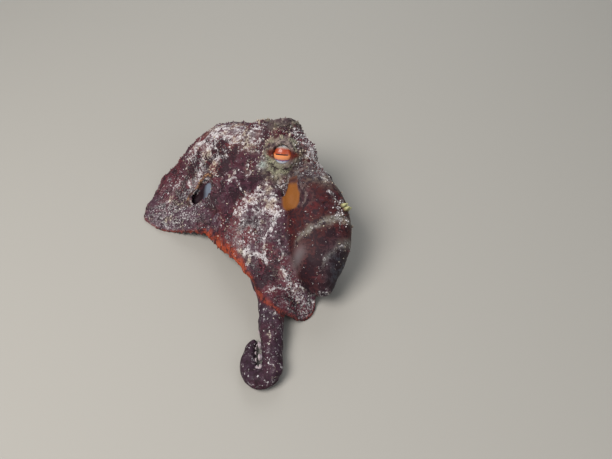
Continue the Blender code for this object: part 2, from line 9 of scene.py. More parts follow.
import bmesh
import bpy
import numpy as np
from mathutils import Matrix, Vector


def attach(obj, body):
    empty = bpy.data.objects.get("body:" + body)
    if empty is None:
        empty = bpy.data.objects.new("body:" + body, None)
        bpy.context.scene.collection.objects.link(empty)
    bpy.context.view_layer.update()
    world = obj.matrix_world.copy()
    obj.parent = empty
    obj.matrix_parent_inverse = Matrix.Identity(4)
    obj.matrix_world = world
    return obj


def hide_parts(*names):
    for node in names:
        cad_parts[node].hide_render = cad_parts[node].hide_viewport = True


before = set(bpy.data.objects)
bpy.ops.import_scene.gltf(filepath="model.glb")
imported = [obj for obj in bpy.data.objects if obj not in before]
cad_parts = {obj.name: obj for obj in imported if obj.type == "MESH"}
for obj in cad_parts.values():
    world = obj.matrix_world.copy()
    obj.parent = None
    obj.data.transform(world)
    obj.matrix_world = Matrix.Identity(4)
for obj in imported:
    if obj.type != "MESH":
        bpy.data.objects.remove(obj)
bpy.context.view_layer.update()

# Arms
# Eight muscular arms grow from the crown round the mouth. Each runs out under the web, then curls
# on the floor, tapering to a fine tip. They are worked out first because the web drapes over them.

FLOOR_SHIFT = np.array([0.01864, 0.00839, 0.0])
CROWN = np.array([-0.004, 0.022])
CROWN_TOP = 0.05
STEP = 0.001
ARM_ROOT_RADIUS = 0.0092
ARM_TIP_RADIUS = 0.0009
ARM_TAPER = 0.78
ARM_START = 0.0085
ARM_RIDGE = 0.0034
TIP_ROLL = math.radians(70)
SUCKER_STAND = 0.26
WEB_THICKNESS = 0.0016
GAP = 0.0003

# How far the web's margin lies from the crown, by azimuth in degrees (0 is +X, 90 is +Y).
WEB_REACH = {
    5: 0.036, 30: 0.037, 52: 0.043, 72: 0.053, 92: 0.06, 112: 0.069, 130: 0.076, 148: 0.079,
    166: 0.0795, 184: 0.081, 199: 0.058, 214: 0.0445, 231: 0.0465, 249: 0.053, 259: 0.06, 266: 0.069,
    271: 0.079, 278: 0.0875, 286: 0.088, 293: 0.082, 298: 0.067, 305: 0.048, 318: 0.041, 340: 0.037,
}
# How the web falls from the crown to its margin: 1 is a cone, and more is a dome with a steep rim.
WEB_FALL = {
    0: 3.0, 60: 3.6, 90: 4.4, 115: 5.2, 132: 5.0, 147: 3.4, 162: 1.3, 178: 0.85,
    195: 0.9, 225: 1.6, 281: 1.8, 320: 2.4,
}
# Each arm: its azimuth at the crown and at the web's margin, how far it follows the web as a share
# of the reach, and its free run as (length, turn in degrees), left turns positive.
ARMS = {
    "l1": (202.5, 180, 0.62, [(0.003, 0), (0.025, -184), (0.026, 3), (0.014, 20), (0.012, 70)]),
    "l2": (247.5, 281.5, 0.8, [
        (0.018, -21), (0.036, 2), (0.021, -178), (0.012, -12), (0.008, -30),
    ]),
    "l3": (292.5, 287, 0.66, [(0.004, 0), (0.023, 180), (0.022, 4), (0.016, -10)]),
    "l4": (337.5, 335, 0.7, [(0.012, 0), (0.018, -55), (0.014, -6), (0.006, 0)]),
    "r4": (22.5, 18, 0.72, [(0.008, 0), (0.032, 165), (0.014, 140), (0.005, 50)]),
    "r3": (67.5, 66, 0.9, [(0.005, 0), (0.031, 165), (0.014, 140), (0.005, 50)]),
    "r2": (112.5, 111, 0.8, [(0.004, 0), (0.03, 132), (0.012, 10), (0.012, -60), (0.006, -60)]),
    "r1": (157.5, 142, 0.53, [(0.014, 1), (0.023, 92), (0.018, 130), (0.012, 90)]),
}
# Greatest height of each arm's centre, lower where the head and the mantle lie over it.
ARM_CEILING = {
    "l1": 0.033, "l2": 0.033, "l3": 0.028, "l4": 0.016,
    "r4": 0.016, "r3": 0.022, "r2": 0.031, "r1": 0.034,
}
# Root radius and taper of the arms that differ from the rest.
ARM_FORMS = {"l1": (0.0085, 0.82), "l2": (0.01, 0.46)}


def around(table, azimuth):
    """Smooth closed curve through {azimuth in degrees: value}.

    Between each two it is the cubic that has their values and their mean slopes.
    """
    known = np.array(sorted(table), float)
    values = np.array([table[a] for a in known])
    before, after = np.roll(known, 1), np.roll(known, -1)
    before[0] -= 360
    after[-1] += 360
    slopes = (np.roll(values, -1) - np.roll(values, 1)) / (after - before)
    azimuth = np.asarray(azimuth, float) % 360
    first = (np.searchsorted(known, azimuth, side="right") - 1) % len(known)
    second = (first + 1) % len(known)
    width = (known[second] - known[first]) % 360
    t = ((azimuth - known[first]) % 360) / width
    return (
        values[first] * (1 + 2 * t) * (1 - t) ** 2
        + slopes[first] * width * t * (1 - t) ** 2
        + values[second] * t**2 * (3 - 2 * t)
        + slopes[second] * width * t**2 * (t - 1)
    )


def web_place(x, y):
    """Azimuth in degrees about the crown, and the share of the web's reach, of a place in plan."""
    dx, dy = x - CROWN[0], y - CROWN[1]
    azimuth = np.degrees(np.arctan2(dy, dx)) % 360
    return azimuth, np.hypot(dx, dy) / around(WEB_REACH, azimuth)


def dome(x, y):
    """Height of the web over the floor: the crown's height times 1 - share ** fall."""
    azimuth, share = web_place(x, y)
    return CROWN_TOP * (1 - np.clip(share, 0, 1) ** around(WEB_FALL, azimuth))


def arm_plan(name):
    """An arm's points from above, a step apart, its length under the web, and its whole turn.

    Under the web its azimuth goes over from the one at the crown to the one at the margin.
    """
    root, margin, share, runs = ARMS[name]
    q = np.linspace(ARM_START / around(WEB_REACH, root), share, 400)
    azimuth = root + ((margin - root + 180) % 360 - 180) * q**1.4
    reach = around(WEB_REACH, azimuth) * q
    angle = np.radians(azimuth)
    inner = CROWN + reach[:, None] * np.stack([np.cos(angle), np.sin(angle)], -1)
    along = np.concatenate([[0], np.cumsum(np.linalg.norm(np.diff(inner, axis=0), axis=1))])
    even = np.arange(0, along[-1], STEP)
    under = np.stack([np.interp(even, along, inner[:, i]) for i in (0, 1)], -1)
    counts = [round(length / STEP) for length, _ in runs]
    turns = np.repeat([math.radians(turn) / count for count, (_, turn) in zip(counts, runs)], counts)
    last = inner[-1] - inner[-2]
    heading = math.atan2(last[1], last[0]) + np.cumsum(turns)
    free = under[-1] + STEP * np.cumsum(np.stack([np.cos(heading), np.sin(heading)], -1), axis=0)
    return np.concatenate([under, free]), along[-1], sum(turn for _, turn in runs)


def smooth_step(low, high, values):
    """0 below low, 1 above high, and 3t^2 - 2t^3 between."""
    t = np.clip((values - low) / (high - low), 0, 1)
    return t * t * (3 - 2 * t)


def eased(values, width):
    """Moving average over width samples to each side, with the ends held."""
    padded = np.concatenate([[values[0]] * width, values, [values[-1]] * width])
    return np.convolve(padded, np.ones(2 * width + 1) / (2 * width + 1), "valid")


def unit(vectors):
    """Vectors with a length of 1 along the same lines."""
    return vectors / np.linalg.norm(vectors, axis=-1, keepdims=True)


def frame_along(route):
    """Unit vectors ahead, to the side and up along a route."""
    ahead = unit(np.gradient(route, axis=0))
    side = unit(np.cross(ahead, [0, 0, 1.0]))
    return ahead, side, np.cross(side, ahead)


def round_angles(count):
    """Angles in even steps once round a circle."""
    return np.arange(count) * 2 * math.pi / count


def oval_rings(middles, wide, high, angle):
    """Rings of points at middle + wide * cos(angle) + high * sin(angle), with wide and high vectors."""
    along_wide = np.cos(angle)[None, :, None] * wide[:, None]
    return middles[:, None] + along_wide + np.sin(angle)[None, :, None] * high[:, None]


class Arm:
    """One arm's centreline, radii and frame, sampled every step from the crown to the tip."""

    def __init__(self, name):
        plan, inner, turned = arm_plan(name)
        count = len(plan)
        share = np.arange(count) / (count - 1)
        root, taper = ARM_FORMS.get(name, (ARM_ROOT_RADIUS, ARM_TAPER))
        self.name = name
        self.length = STEP * (count - 1)
        self.radius = ARM_TIP_RADIUS + (root - ARM_TIP_RADIUS) * (1 - share) ** taper
        self.half_width = np.minimum(self.radius, np.maximum(self.crown_room(plan, inner), 0.0016))
        self.roll = TIP_ROLL * smooth_step(0.45, 0.9, share) * (-1 if turned > 0 else 1)
        resting = self.radius * (1 + SUCKER_STAND * np.cos(self.roll) ** 2) - 0.0002
        hung = dome(plan[:, 0], plan[:, 1]) - WEB_THICKNESS - GAP - self.radius + ARM_RIDGE
        hung = np.minimum(hung, ARM_CEILING[name])
        under_web = 1 - smooth_step(inner - 0.012, inner + 0.008, np.arange(count) * STEP)
        height = resting + np.maximum(hung - resting, 0) * under_web
        height = np.maximum(eased(eased(height, 6), 4), resting)
        self.points = np.column_stack([plan, height])
        _, self.side, self.up = frame_along(self.points)

    def crown_room(self, plan, inner):
        """How far each sample may widen before it meets the next arms at the crown."""
        order = list(ARMS)
        place = order.index(self.name)
        room = np.ones(len(plan))
        near = np.arange(len(plan)) * STEP < inner
        for neighbour in (order[place - 1], order[(place + 1) % len(order)]):
            other, other_inner, _ = arm_plan(neighbour)
            other = other[:int(other_inner / STEP)]
            gap = np.linalg.norm(plan[:, None] - other[None], axis=2).min(axis=1)
            room = np.where(near, np.minimum(room, 0.5 * gap), room)
        return room

    def surface(self, sides=20):
        """Oval rings of the arm, as wide as there is room for."""
        wide, high = self.half_width[:, None] * self.side, self.radius[:, None] * self.up
        return oval_rings(self.points, wide, high, round_angles(sides))


def closed_tube(rings):
    """Points and faces of a tube through rings of points (ring, side, xyz), with a fan at each end."""
    count, sides = rings.shape[:2]
    points = np.concatenate([rings.reshape(-1, 3), [rings[0].mean(axis=0), rings[-1].mean(axis=0)]])
    ring, side = np.meshgrid(np.arange(count - 1) * sides, np.arange(sides), indexing="ij")
    after, above = (side + 1) % sides, ring + sides
    quads = np.stack([ring + side, ring + after, above + after, above + side], -1).reshape(-1, 4)
    side, after = np.arange(sides), (np.arange(sides) + 1) % sides
    last = (count - 1) * sides
    start = np.stack([np.full(sides, count * sides), after, side], -1)
    end = np.stack([np.full(sides, count * sides + 1), last + side, last + after], -1)
    return points, [*quads.tolist(), *start.tolist(), *end.tolist()]


arms = {name: Arm(name) for name in ARMS}
flesh = [closed_tube(arm.surface()) for arm in arms.values()]

# Web
# A thin elastic sheet of skin joins the eight arms. It lies over them like a tent, with a ridge along
# each arm, and its free margin rests on the floor.

WEB_BLEND = 0.0009
RIDGE_CLEAR = 0.0005
RIDGE_WIDTH = 2.2
# The gap in the web between the first two front arms, and the pocket of skin that shows in it.
HOLE_CENTRE = np.array([-0.0455, 0.0208, 0.024])
HOLE_RADII = np.array([0.0085, 0.0066, 0.012])
HOLE_TURN = math.radians(7)
POCKET_LONG = 0.013
POCKET_WIDE = 0.011
POCKET_DEPTH = 0.0052


def web_inside(x, y):
    """Height of the web's inside, and its upright thickness.

    The height is the smooth highest of the dome and of a ridge over each arm.
    """
    near = 0.0005
    slope = np.hypot(
        (dome(x + near, y) - dome(x - near, y)) / (2 * near),
        (dome(x, y + near) - dome(x, y - near)) / (2 * near),
    )
    thickness = WEB_THICKNESS * np.minimum(np.sqrt(1 + slope**2), 2.6)
    inside = np.maximum(dome(x, y) - thickness, 0)
    height = np.exp(inside / WEB_BLEND)
    for arm in arms.values():
        offset = np.stack([x, y], -1)[..., None, :] - arm.points[::2, :2]
        size = arm.radius[::2] + GAP + RIDGE_CLEAR
        ridge = arm.points[::2, 2] + size - (offset**2).sum(-1) / (RIDGE_WIDTH * size)
        height = height + np.exp(np.maximum(ridge.max(axis=-1), 0) / WEB_BLEND)
    return np.maximum(WEB_BLEND * (np.log(height) - math.log(len(arms) + 1)), inside), thickness


def sheet_rings(x, y, low, high):
    """Rings of a sheet: its low side out to its margin, then its high side back to the middle."""
    return np.concatenate([np.stack([x, y, low], -1), np.stack([x, y, high], -1)[::-1]])


def web_rings(columns=240, rows=56):
    """Rings of the web about the crown."""
    azimuth, share = np.meshgrid(np.arange(columns) * 360 / columns, np.linspace(0.03, 1, rows))
    reach = around(WEB_REACH, azimuth) * share
    x = CROWN[0] + reach * np.cos(np.radians(azimuth))
    y = CROWN[1] + reach * np.sin(np.radians(azimuth))
    inside, thickness = web_inside(x, y)
    return sheet_rings(x, y, inside, inside + thickness)


def placed(name, data):
    """A new object of the scene that carries some data."""
    piece = bpy.data.objects.new(name, data)
    bpy.context.scene.collection.objects.link(piece)
    return piece


def put_mesh(name, points, faces):
    """A smooth mesh object from points in the animal's own frame, moved to the floor's."""
    mesh = bpy.data.meshes.new(name)
    mesh.from_pydata((points + FLOOR_SHIFT).tolist(), [], faces)
    mesh.shade_smooth()
    return placed(name, mesh)


def finished(piece, kind, **settings):
    """Adds one modifier with its settings, and applies it."""
    step = piece.modifiers.new(kind.lower(), kind)
    for name, value in settings.items():
        setattr(step, name, value)
    graph = bpy.context.evaluated_depsgraph_get()
    mesh = bpy.data.meshes.new_from_object(piece.evaluated_get(graph))
    piece.modifiers.clear()
    piece.data = mesh


def ball_rings(centre, radii, rows, columns):
    """Rings of an ellipsoid from its foot to its top: centre + radii * direction."""
    latitude = np.linspace(-0.5, 0.5, rows + 2)[1:-1, None] * math.pi
    longitude = round_angles(columns)
    level = np.broadcast_to(np.sin(latitude), (rows, columns))
    east, north = np.cos(latitude) * np.cos(longitude), np.cos(latitude) * np.sin(longitude)
    return centre + np.stack([east, north, level], -1) * radii


web = put_mesh("web", *closed_tube(web_rings()))


def pocket_rings(rows=12, columns=48):
    """A shallow bowl of skin under the hole, hung from the inside of the web round it."""
    angle, reach = np.meshgrid(round_angles(columns), np.linspace(0.02, 1, rows))
    long, wide = reach * np.cos(angle) * POCKET_LONG, reach * np.sin(angle) * POCKET_WIDE
    x = HOLE_CENTRE[0] + long * math.cos(HOLE_TURN) - wide * math.sin(HOLE_TURN)
    y = HOLE_CENTRE[1] + long * math.sin(HOLE_TURN) + wide * math.cos(HOLE_TURN)
    inside, thickness = web_inside(x, y)
    top = inside + 0.3 * thickness - POCKET_DEPTH * (1 - reach**4)
    return sheet_rings(x, y, top - 1.3 * thickness, top)


flesh.append(closed_tube(pocket_rings()))
hole_rings = ball_rings(0, HOLE_RADII, 20, 32)
hole_cos, hole_sin = math.cos(HOLE_TURN), math.sin(HOLE_TURN)
turn = np.array([(hole_cos, -hole_sin, 0), (hole_sin, hole_cos, 0), (0, 0, 1)])
hole = put_mesh("hole", *closed_tube(hole_rings @ turn.T + HOLE_CENTRE))
finished(web, "BOOLEAN", operation="DIFFERENCE", object=hole, solver="MANIFOLD")

# Head
# The head is a lobed mass of muscle on the crown, with the eyes in turrets at its top.

HEAD_CENTRE = np.array([0.009, 0.0325, 0.045])
EYE_CENTRES = {
    "eye_left": np.array([0.0083, 0.0235, 0.0553]),
    "eye_right": np.array([0.0083, 0.0415, 0.0553]),
}
EYE_AXES = {"eye_left": np.array([-0.1, -0.8, 0.59]), "eye_right": np.array([-0.1, 0.8, 0.59])}
EYEBALL_RADIUS = 0.0076
HEAD_LOBES = [
    ((0.009, 0.0325, 0.043), (0.0165, 0.015, 0.017)),
    ((0.0083, 0.024, 0.0548), (0.012, 0.0104, 0.0104)),
    ((0.0083, 0.041, 0.0548), (0.012, 0.0104, 0.0104)),
    ((0.0165, 0.0285, 0.044), (0.013, 0.013, 0.014)),
    ((0.000, 0.028, 0.038), (0.014, 0.015, 0.013)),
    ((-0.0035, 0.0235, 0.0385), (0.011, 0.011, 0.012)),
    ((0.0075, 0.016, 0.037), (0.011, 0.012, 0.0125)),
    ((-0.006, 0.041, 0.048), (0.013, 0.013, 0.0145)),
]


def head_reach(directions):
    """How far the head's outside lies from its centre: the smooth largest of the lobes' far sides."""
    total = np.zeros(directions.shape[:-1])
    for middle, radii in HEAD_LOBES:
        offset = (np.array(middle) - HEAD_CENTRE) / radii
        scaled = directions / np.array(radii)
        a, b, c = (scaled**2).sum(-1), (scaled * offset).sum(-1), (offset**2).sum() - 1
        root = b * b - a * c
        reach = np.where(root > 0, np.maximum(b + np.sqrt(np.maximum(root, 0)), 0) / a, 0)
        total += (reach * 1000) ** 9
    return total ** (1 / 9) / 1000


directions = ball_rings(0, 1, 60, 96)
flesh.append(closed_tube(HEAD_CENTRE + directions * head_reach(directions)[..., None]))

# Mantle
# The mantle is the soft bag of the body behind the head. At rest it has slumped to the animal's left
# rear, and lies against the web.

# The bag's route from the neck to its end: x, y, z, half width, half height.
MANTLE_STATIONS = np.array([
    (0.019, 0.033, 0.043, 0.008, 0.008),
    (0.0195, 0.0245, 0.0412, 0.011, 0.012),
    (0.0232, 0.011, 0.038, 0.0146, 0.0154),
    (0.0285, -0.006, 0.0335, 0.019, 0.0172),
    (0.03, -0.022, 0.0275, 0.019, 0.0168),
    (0.03, -0.037, 0.0205, 0.015, 0.015),
    (0.031, -0.049, 0.014, 0.007, 0.008),
])
TAIL_LENGTH = 0.0045


def smooth_route(stations, count):
    """Catmull-Rom curve through rows of numbers, read at count even shares of its length."""
    before, after = 2 * stations[0] - stations[1], 2 * stations[-1] - stations[-2]
    padded = np.concatenate([[before], stations, [after]])
    t = np.linspace(0, 1, 40, endpoint=False)[:, None]
    fine = [
        0.5 * (2 * b + (c - a) * t + (2 * a - 5 * b + 4 * c - d) * t**2 + (3 * b - a - 3 * c + d) * t**3)
        for a, b, c, d in zip(padded, padded[1:], padded[2:], padded[3:])
    ]
    fine = np.concatenate([*fine, stations[-1:]])
    along = np.concatenate([[0], np.cumsum(np.linalg.norm(np.diff(fine[:, :3], axis=0), axis=1))])
    even = np.linspace(0, along[-1], count)
    return np.stack([np.interp(even, along, fine[:, i]) for i in range(stations.shape[1])], -1)


mantle_route = smooth_route(MANTLE_STATIONS, 200)
mantle_ahead, mantle_side, mantle_up = frame_along(mantle_route[:, :3])


def mantle_rings(count=60, sides=64):
    """Elliptic rings along the bag's route, closer together at its rounded ends, then its soft tail."""
    along = 0.5 - 0.5 * np.cos(np.linspace(0.1, math.pi - 0.06, count))
    picked = np.round(along * (len(mantle_route) - 1)).astype(int)
    route = mantle_route[picked]
    wide, high = route[:, 3:4] * mantle_side[picked], route[:, 4:5] * mantle_up[picked]
    rings = oval_rings(route[:, :3], wide, high, -round_angles(sides))
    end = rings[-1].mean(axis=0)
    tail = [
        end + (rings[-1] - end) * math.cos(a) + mantle_ahead[-1] * TAIL_LENGTH * math.sin(a)
        for a in np.linspace(0, math.pi / 2, 7)[1:-1]
    ]
    rings = np.concatenate([rings, tail])
    rings[..., 2] = np.maximum(rings[..., 2], 0)
    return rings


flesh.append(closed_tube(mantle_rings()))

# Funnel
# The funnel is a muscular tube under the head, through which the animal breathes out. It is smooth and
# ochre, wide where it leaves the mantle, and opens beside the left eye.

FUNNEL_BASE = np.array([0.0154, -0.01, 0.0396])
FUNNEL_MOUTH = np.array([0.0142, 0.0062, 0.0488])
FUNNEL_WIDE = 0.006
FUNNEL_NARROW = 0.0028
FUNNEL_PROFILE = [
    (0.3 * FUNNEL_WIDE, 0.0), (0.85 * FUNNEL_WIDE, 0.04), (FUNNEL_WIDE, 0.2),
    (0.96 * FUNNEL_WIDE, 0.48), (1.25 * FUNNEL_NARROW, 0.74), (FUNNEL_NARROW, 0.97),
    (0.86 * FUNNEL_NARROW, 1.0), (0.66 * FUNNEL_NARROW, 0.97), (0.6 * FUNNEL_NARROW, 0.62),
]


def across(axis):
    """Two unit vectors square to an axis: level first, then upwards."""
    level = np.cross([0, 0, 1.0], axis)
    level /= np.linalg.norm(level)
    return level, np.cross(axis, level)


def turned_rings(base, axis, profile, sides):
    """A profile of (radius, height) turned about an axis from a base."""
    level, upwards = across(axis)
    angle = round_angles(sides)
    spoke = np.outer(np.cos(angle), level) + np.outer(np.sin(angle), upwards)
    profile = np.array(profile)
    return base + profile[:, :1, None] * spoke + profile[:, 1:, None] * axis


funnel_length = np.linalg.norm(FUNNEL_MOUTH - FUNNEL_BASE)
funnel_axis = (FUNNEL_MOUTH - FUNNEL_BASE) / funnel_length
funnel_profile = [(radius, height * funnel_length) for radius, height in FUNNEL_PROFILE]
flesh.append(closed_tube(turned_rings(FUNNEL_BASE, funnel_axis, funnel_profile, 32)))

# Skin
# One soft skin covers head, mantle, funnel, web and arms without a seam. It is wrinkled and lumpy, with
# lids round the eyes, maroon and purple-brown under a net of white and cream flecks.

# The mesh is twice as fine within a reach of each eye's centre.
VOXEL = 0.00105
FINE_REACH = 0.0135
LATTICE = 32
LID_WIDE = 0.0052
LID_HIGH = 0.0057
LID_THICKNESS = 0.0011


def joined(surfaces, piece):
    """Adds closed surfaces to a mesh object as loose parts of it."""
    mesh = piece.data
    points = [np.array([tuple(v.co) for v in mesh.vertices])]
    faces = [tuple(face.vertices) for face in mesh.polygons]
    first = len(points[0])
    for more, more_faces in surfaces:
        points.append(more + FLOOR_SHIFT)
        faces += [tuple(first + corner for corner in face) for face in more_faces]
        first += len(more)
    whole = bpy.data.meshes.new("skin")
    whole.from_pydata(np.concatenate(points).tolist(), [], faces)
    return whole


def relaxed(points, edges, rounds):
    """Evens a surface: each point moves half way to its neighbours' mean, then about as far back out.

    Moving back out keeps the surface's size.
    """
    count = np.bincount(edges.ravel(), minlength=len(points))[:, None]
    for share in [0.5, -0.52] * rounds:
        total = np.stack([
            np.bincount(edges[:, 0], points[edges[:, 1], i], len(points))
            + np.bincount(edges[:, 1], points[edges[:, 0], i], len(points)) for i in range(3)
        ], -1)
        points = points + share * (total / count - points)
    return points


def numbers(items, name, shape, kind=float):
    """An attribute of every item of a mesh as an array."""
    values = np.zeros(len(items) * shape, kind)
    items.foreach_get(name, values)
    return values.reshape(-1, shape)


def lumps(size, seed):
    """Soft lumps from -1 to 1, size metres apart: a seeded lattice, eased from corner to corner."""
    lattice = np.random.default_rng(seed).uniform(-1, 1, (LATTICE,) * 3)
    low = np.floor(points / size).astype(int)
    t = points / size - low
    t = t * t * (3 - 2 * t)
    total = np.zeros(len(points))
    for corner in itertools.product((0, 1), repeat=3):
        weight = np.prod(np.where(corner, t, 1 - t), axis=1)
        total += weight * lattice[tuple(((low + corner) % LATTICE).T)]
    return total


def bell(values, middle, width):
    """exp(-((value - middle) / width)**2): 1 at the middle, falling off to both sides."""
    return np.exp(-(((values - middle) / width) ** 2))


def between(low, full, fading, gone, values):
    """0 below low, 1 from full to fading, 0 above gone, and smooth steps between."""
    return smooth_step(low, full, values) * (1 - smooth_step(fading, gone, values))


def spot(x, y, radius):
    """1 over a place in plan, falling off smoothly with the distance from it."""
    return np.exp(-((points[:, 0] - x) ** 2 + (points[:, 1] - y) ** 2) / radius**2)


def eye_frame(name):
    """The eye's centre and its unit vectors: along the slit, up the eye and out of it."""
    out = EYE_AXES[name] / np.linalg.norm(EYE_AXES[name])
    along, high = across(out)
    return EYE_CENTRES[name], along, high, out


skin = placed("skin", joined(flesh, web))
for spent in (web, hole):
    bpy.data.objects.remove(spent)
finished(skin, "REMESH", mode="VOXEL", voxel_size=VOXEL, adaptivity=0)

work = bmesh.new()
work.from_mesh(skin.data)
eye_places = [Vector(centre + FLOOR_SHIFT) for centre in EYE_CENTRES.values()]
by_eyes = [
    edge for edge in work.edges
    if min((edge.verts[0].co - place).length for place in eye_places) < FINE_REACH
]
bmesh.ops.subdivide_edges(work, edges=by_eyes, cuts=1, use_grid_fill=True)
work.to_mesh(skin.data)
work.free()

edges = numbers(skin.data.edges, "vertices", 2, np.int32)
points = relaxed(numbers(skin.data.vertices, "co", 3, np.float32).astype(float), edges, 6) - FLOOR_SHIFT
skin.data.vertices.foreach_set("co", points.astype(np.float32).ravel())
skin.data.update()
normals = numbers(skin.data.vertices, "normal", 3, np.float32).astype(float)

# Which part of the body each point belongs to, as shares from 0 to 1.
bag = np.full(len(points), 9.0)
for stop in range(0, len(mantle_route), 8):
    offset = points - mantle_route[stop, :3]
    sideways, upwards = offset @ mantle_side[stop], offset @ mantle_up[stop]
    offset = offset - np.outer(sideways, mantle_side[stop]) - np.outer(upwards, mantle_up[stop])
    lengthwise = np.linalg.norm(offset, axis=1)
    wide, high = mantle_route[stop, 3:5]
    across_bag = (sideways / wide) ** 2 + (upwards / high) ** 2
    bag = np.minimum(bag, np.sqrt(across_bag + (lengthwise / 0.006) ** 2))
on_mantle = 1 - smooth_step(1.03, 1.14, bag + 0.05 * lumps(0.0035, 5))
from_head = points - HEAD_CENTRE
head_distance = np.linalg.norm(from_head, axis=1)
head_share = head_distance / head_reach(from_head / head_distance[:, None])
on_head = (1 - smooth_step(1.02, 1.14, head_share)) * (1 - on_mantle)
up_funnel = (points - FUNNEL_BASE) @ funnel_axis / funnel_length
off_axis = np.linalg.norm(points - FUNNEL_BASE - np.outer(up_funnel * funnel_length, funnel_axis), axis=1)
radii, heights = zip(*FUNNEL_PROFILE[:6])
by_funnel = off_axis / np.interp(up_funnel, heights, radii)
in_funnel_run = between(-0.1, 0.05, 1.02, 1.2, up_funnel)
on_funnel = (1 - smooth_step(1.1, 1.28, by_funnel)) * in_funnel_run
azimuth, share = web_place(points[:, 0], points[:, 1])
inside, thickness = web_inside(points[:, 0], points[:, 1])
on_web = smooth_step(-0.0022, -0.0002, points[:, 2] - inside) * (1 - smooth_step(1.01, 1.03, share))
on_web *= (1 - on_mantle) * (1 - on_head) * (1 - on_funnel)
from_hole = points - HOLE_CENTRE
hole_x = from_hole[:, 0] * hole_cos + from_hole[:, 1] * hole_sin
hole_y = from_hole[:, 1] * hole_cos - from_hole[:, 0] * hole_sin
hole_share = np.hypot(hole_x / HOLE_RADII[0], hole_y / HOLE_RADII[1])
below_web = 1 - smooth_step(-0.0015, 0.0004, points[:, 2] - inside)
in_hole = (1 - smooth_step(0.97, 1.08, hole_share)) * below_web

# Relief: lumps everywhere, creases towards the web's margin, folds in the collar by the funnel, and a
# scalloped rib round the gap.
soft = (1 - on_funnel) * (1 - 0.5 * on_mantle) * smooth_step(0.0005, 0.004, points[:, 2])
relief = 0.0007 * lumps(0.009, 1) + 0.0006 * lumps(0.0045, 2)
relief = soft * (relief + 0.00035 * lumps(0.0024, 3))
creases = np.sin(np.radians(azimuth) * 46 + 3.0 * lumps(0.03, 4))
relief += 0.00035 * creases * on_web * smooth_step(0.55, 0.9, share)
collar = bell(by_funnel, 1.75, 0.55) * in_funnel_run
collar *= smooth_step(-0.002, 0.003, points[:, 0] - FUNNEL_BASE[0])
relief += 0.0006 * collar * np.cos(2 * math.pi * (by_funnel - 1.35) / 0.52) * (1 - on_funnel)
rib = bell(hole_share, 1.1, 0.09) * on_web
relief += 0.001 * rib * (0.5 + 0.5 * np.cos(24 * np.arctan2(hole_y * 2, hole_x)))

# Round each eye the skin lies close on the ball, with a raised lid, a hood over it and fine wrinkles.
eye_ring = np.zeros(len(points))
eye_corner = np.zeros(len(points))
eye_hood = np.zeros(len(points))
for name in EYE_CENTRES:
    centre, along, high, out = eye_frame(name)
    offset = points - centre
    u, v, w = offset @ along, offset @ high, offset @ out
    ellipse = np.hypot(u / LID_WIDE, (v + 0.0003) / LID_HIGH)
    front = smooth_step(-0.001, 0.002, w)
    edge = 1 / np.maximum(ellipse, 1)
    ball = np.sqrt(np.maximum(EYEBALL_RADIUS**2 - (u * edge) ** 2 - (v * edge) ** 2, 0))
    lid = LID_THICKNESS + 0.0006 * bell(ellipse, 1.22, 0.18)
    lid += 0.0009 * smooth_step(0.0, 0.005, v) * bell(ellipse, 1.3, 0.24)
    target = np.where(ellipse < 1, ball - 0.0016, ball + lid)
    blend = (1 - smooth_step(1.25, 1.75, ellipse)) * front
    points = points + out * ((target - w) * blend)[:, None]
    relief *= 1 - (1 - smooth_step(1.2, 1.8, ellipse)) * front
    wrinkle = np.cos(2 * math.pi * (ellipse - 1.5) / 0.3) * bell(ellipse, 1.85, 0.4)
    relief += 0.0003 * front * wrinkle
    eye_ring += front * bell(ellipse, 1.75, 0.55)
    eye_hood += front * bell(ellipse, 1.4, 0.28) * smooth_step(0.0005, 0.0035, v)
    aside = np.abs(u)
    streak = 0.0034 - 0.0024 * smooth_step(0.005, 0.0115, aside)
    beside = between(0.0038, 0.0048, 0.0085, 0.0125, aside)
    eye_corner += front * np.exp(-((v / streak) ** 4)) * beside
lids = np.clip(eye_hood + 0.6 * eye_ring, 0, 1)
eye_ring, eye_corner, eye_hood = (np.clip(values, 0, 1) for values in (eye_ring, eye_corner, eye_hood))

points = points + normals * relief[:, None]
points[:, 2] = np.maximum(points[:, 2], 0)
skin.data.vertices.foreach_set("co", (points + FLOOR_SHIFT).astype(np.float32).ravel())
skin.data.shade_smooth()

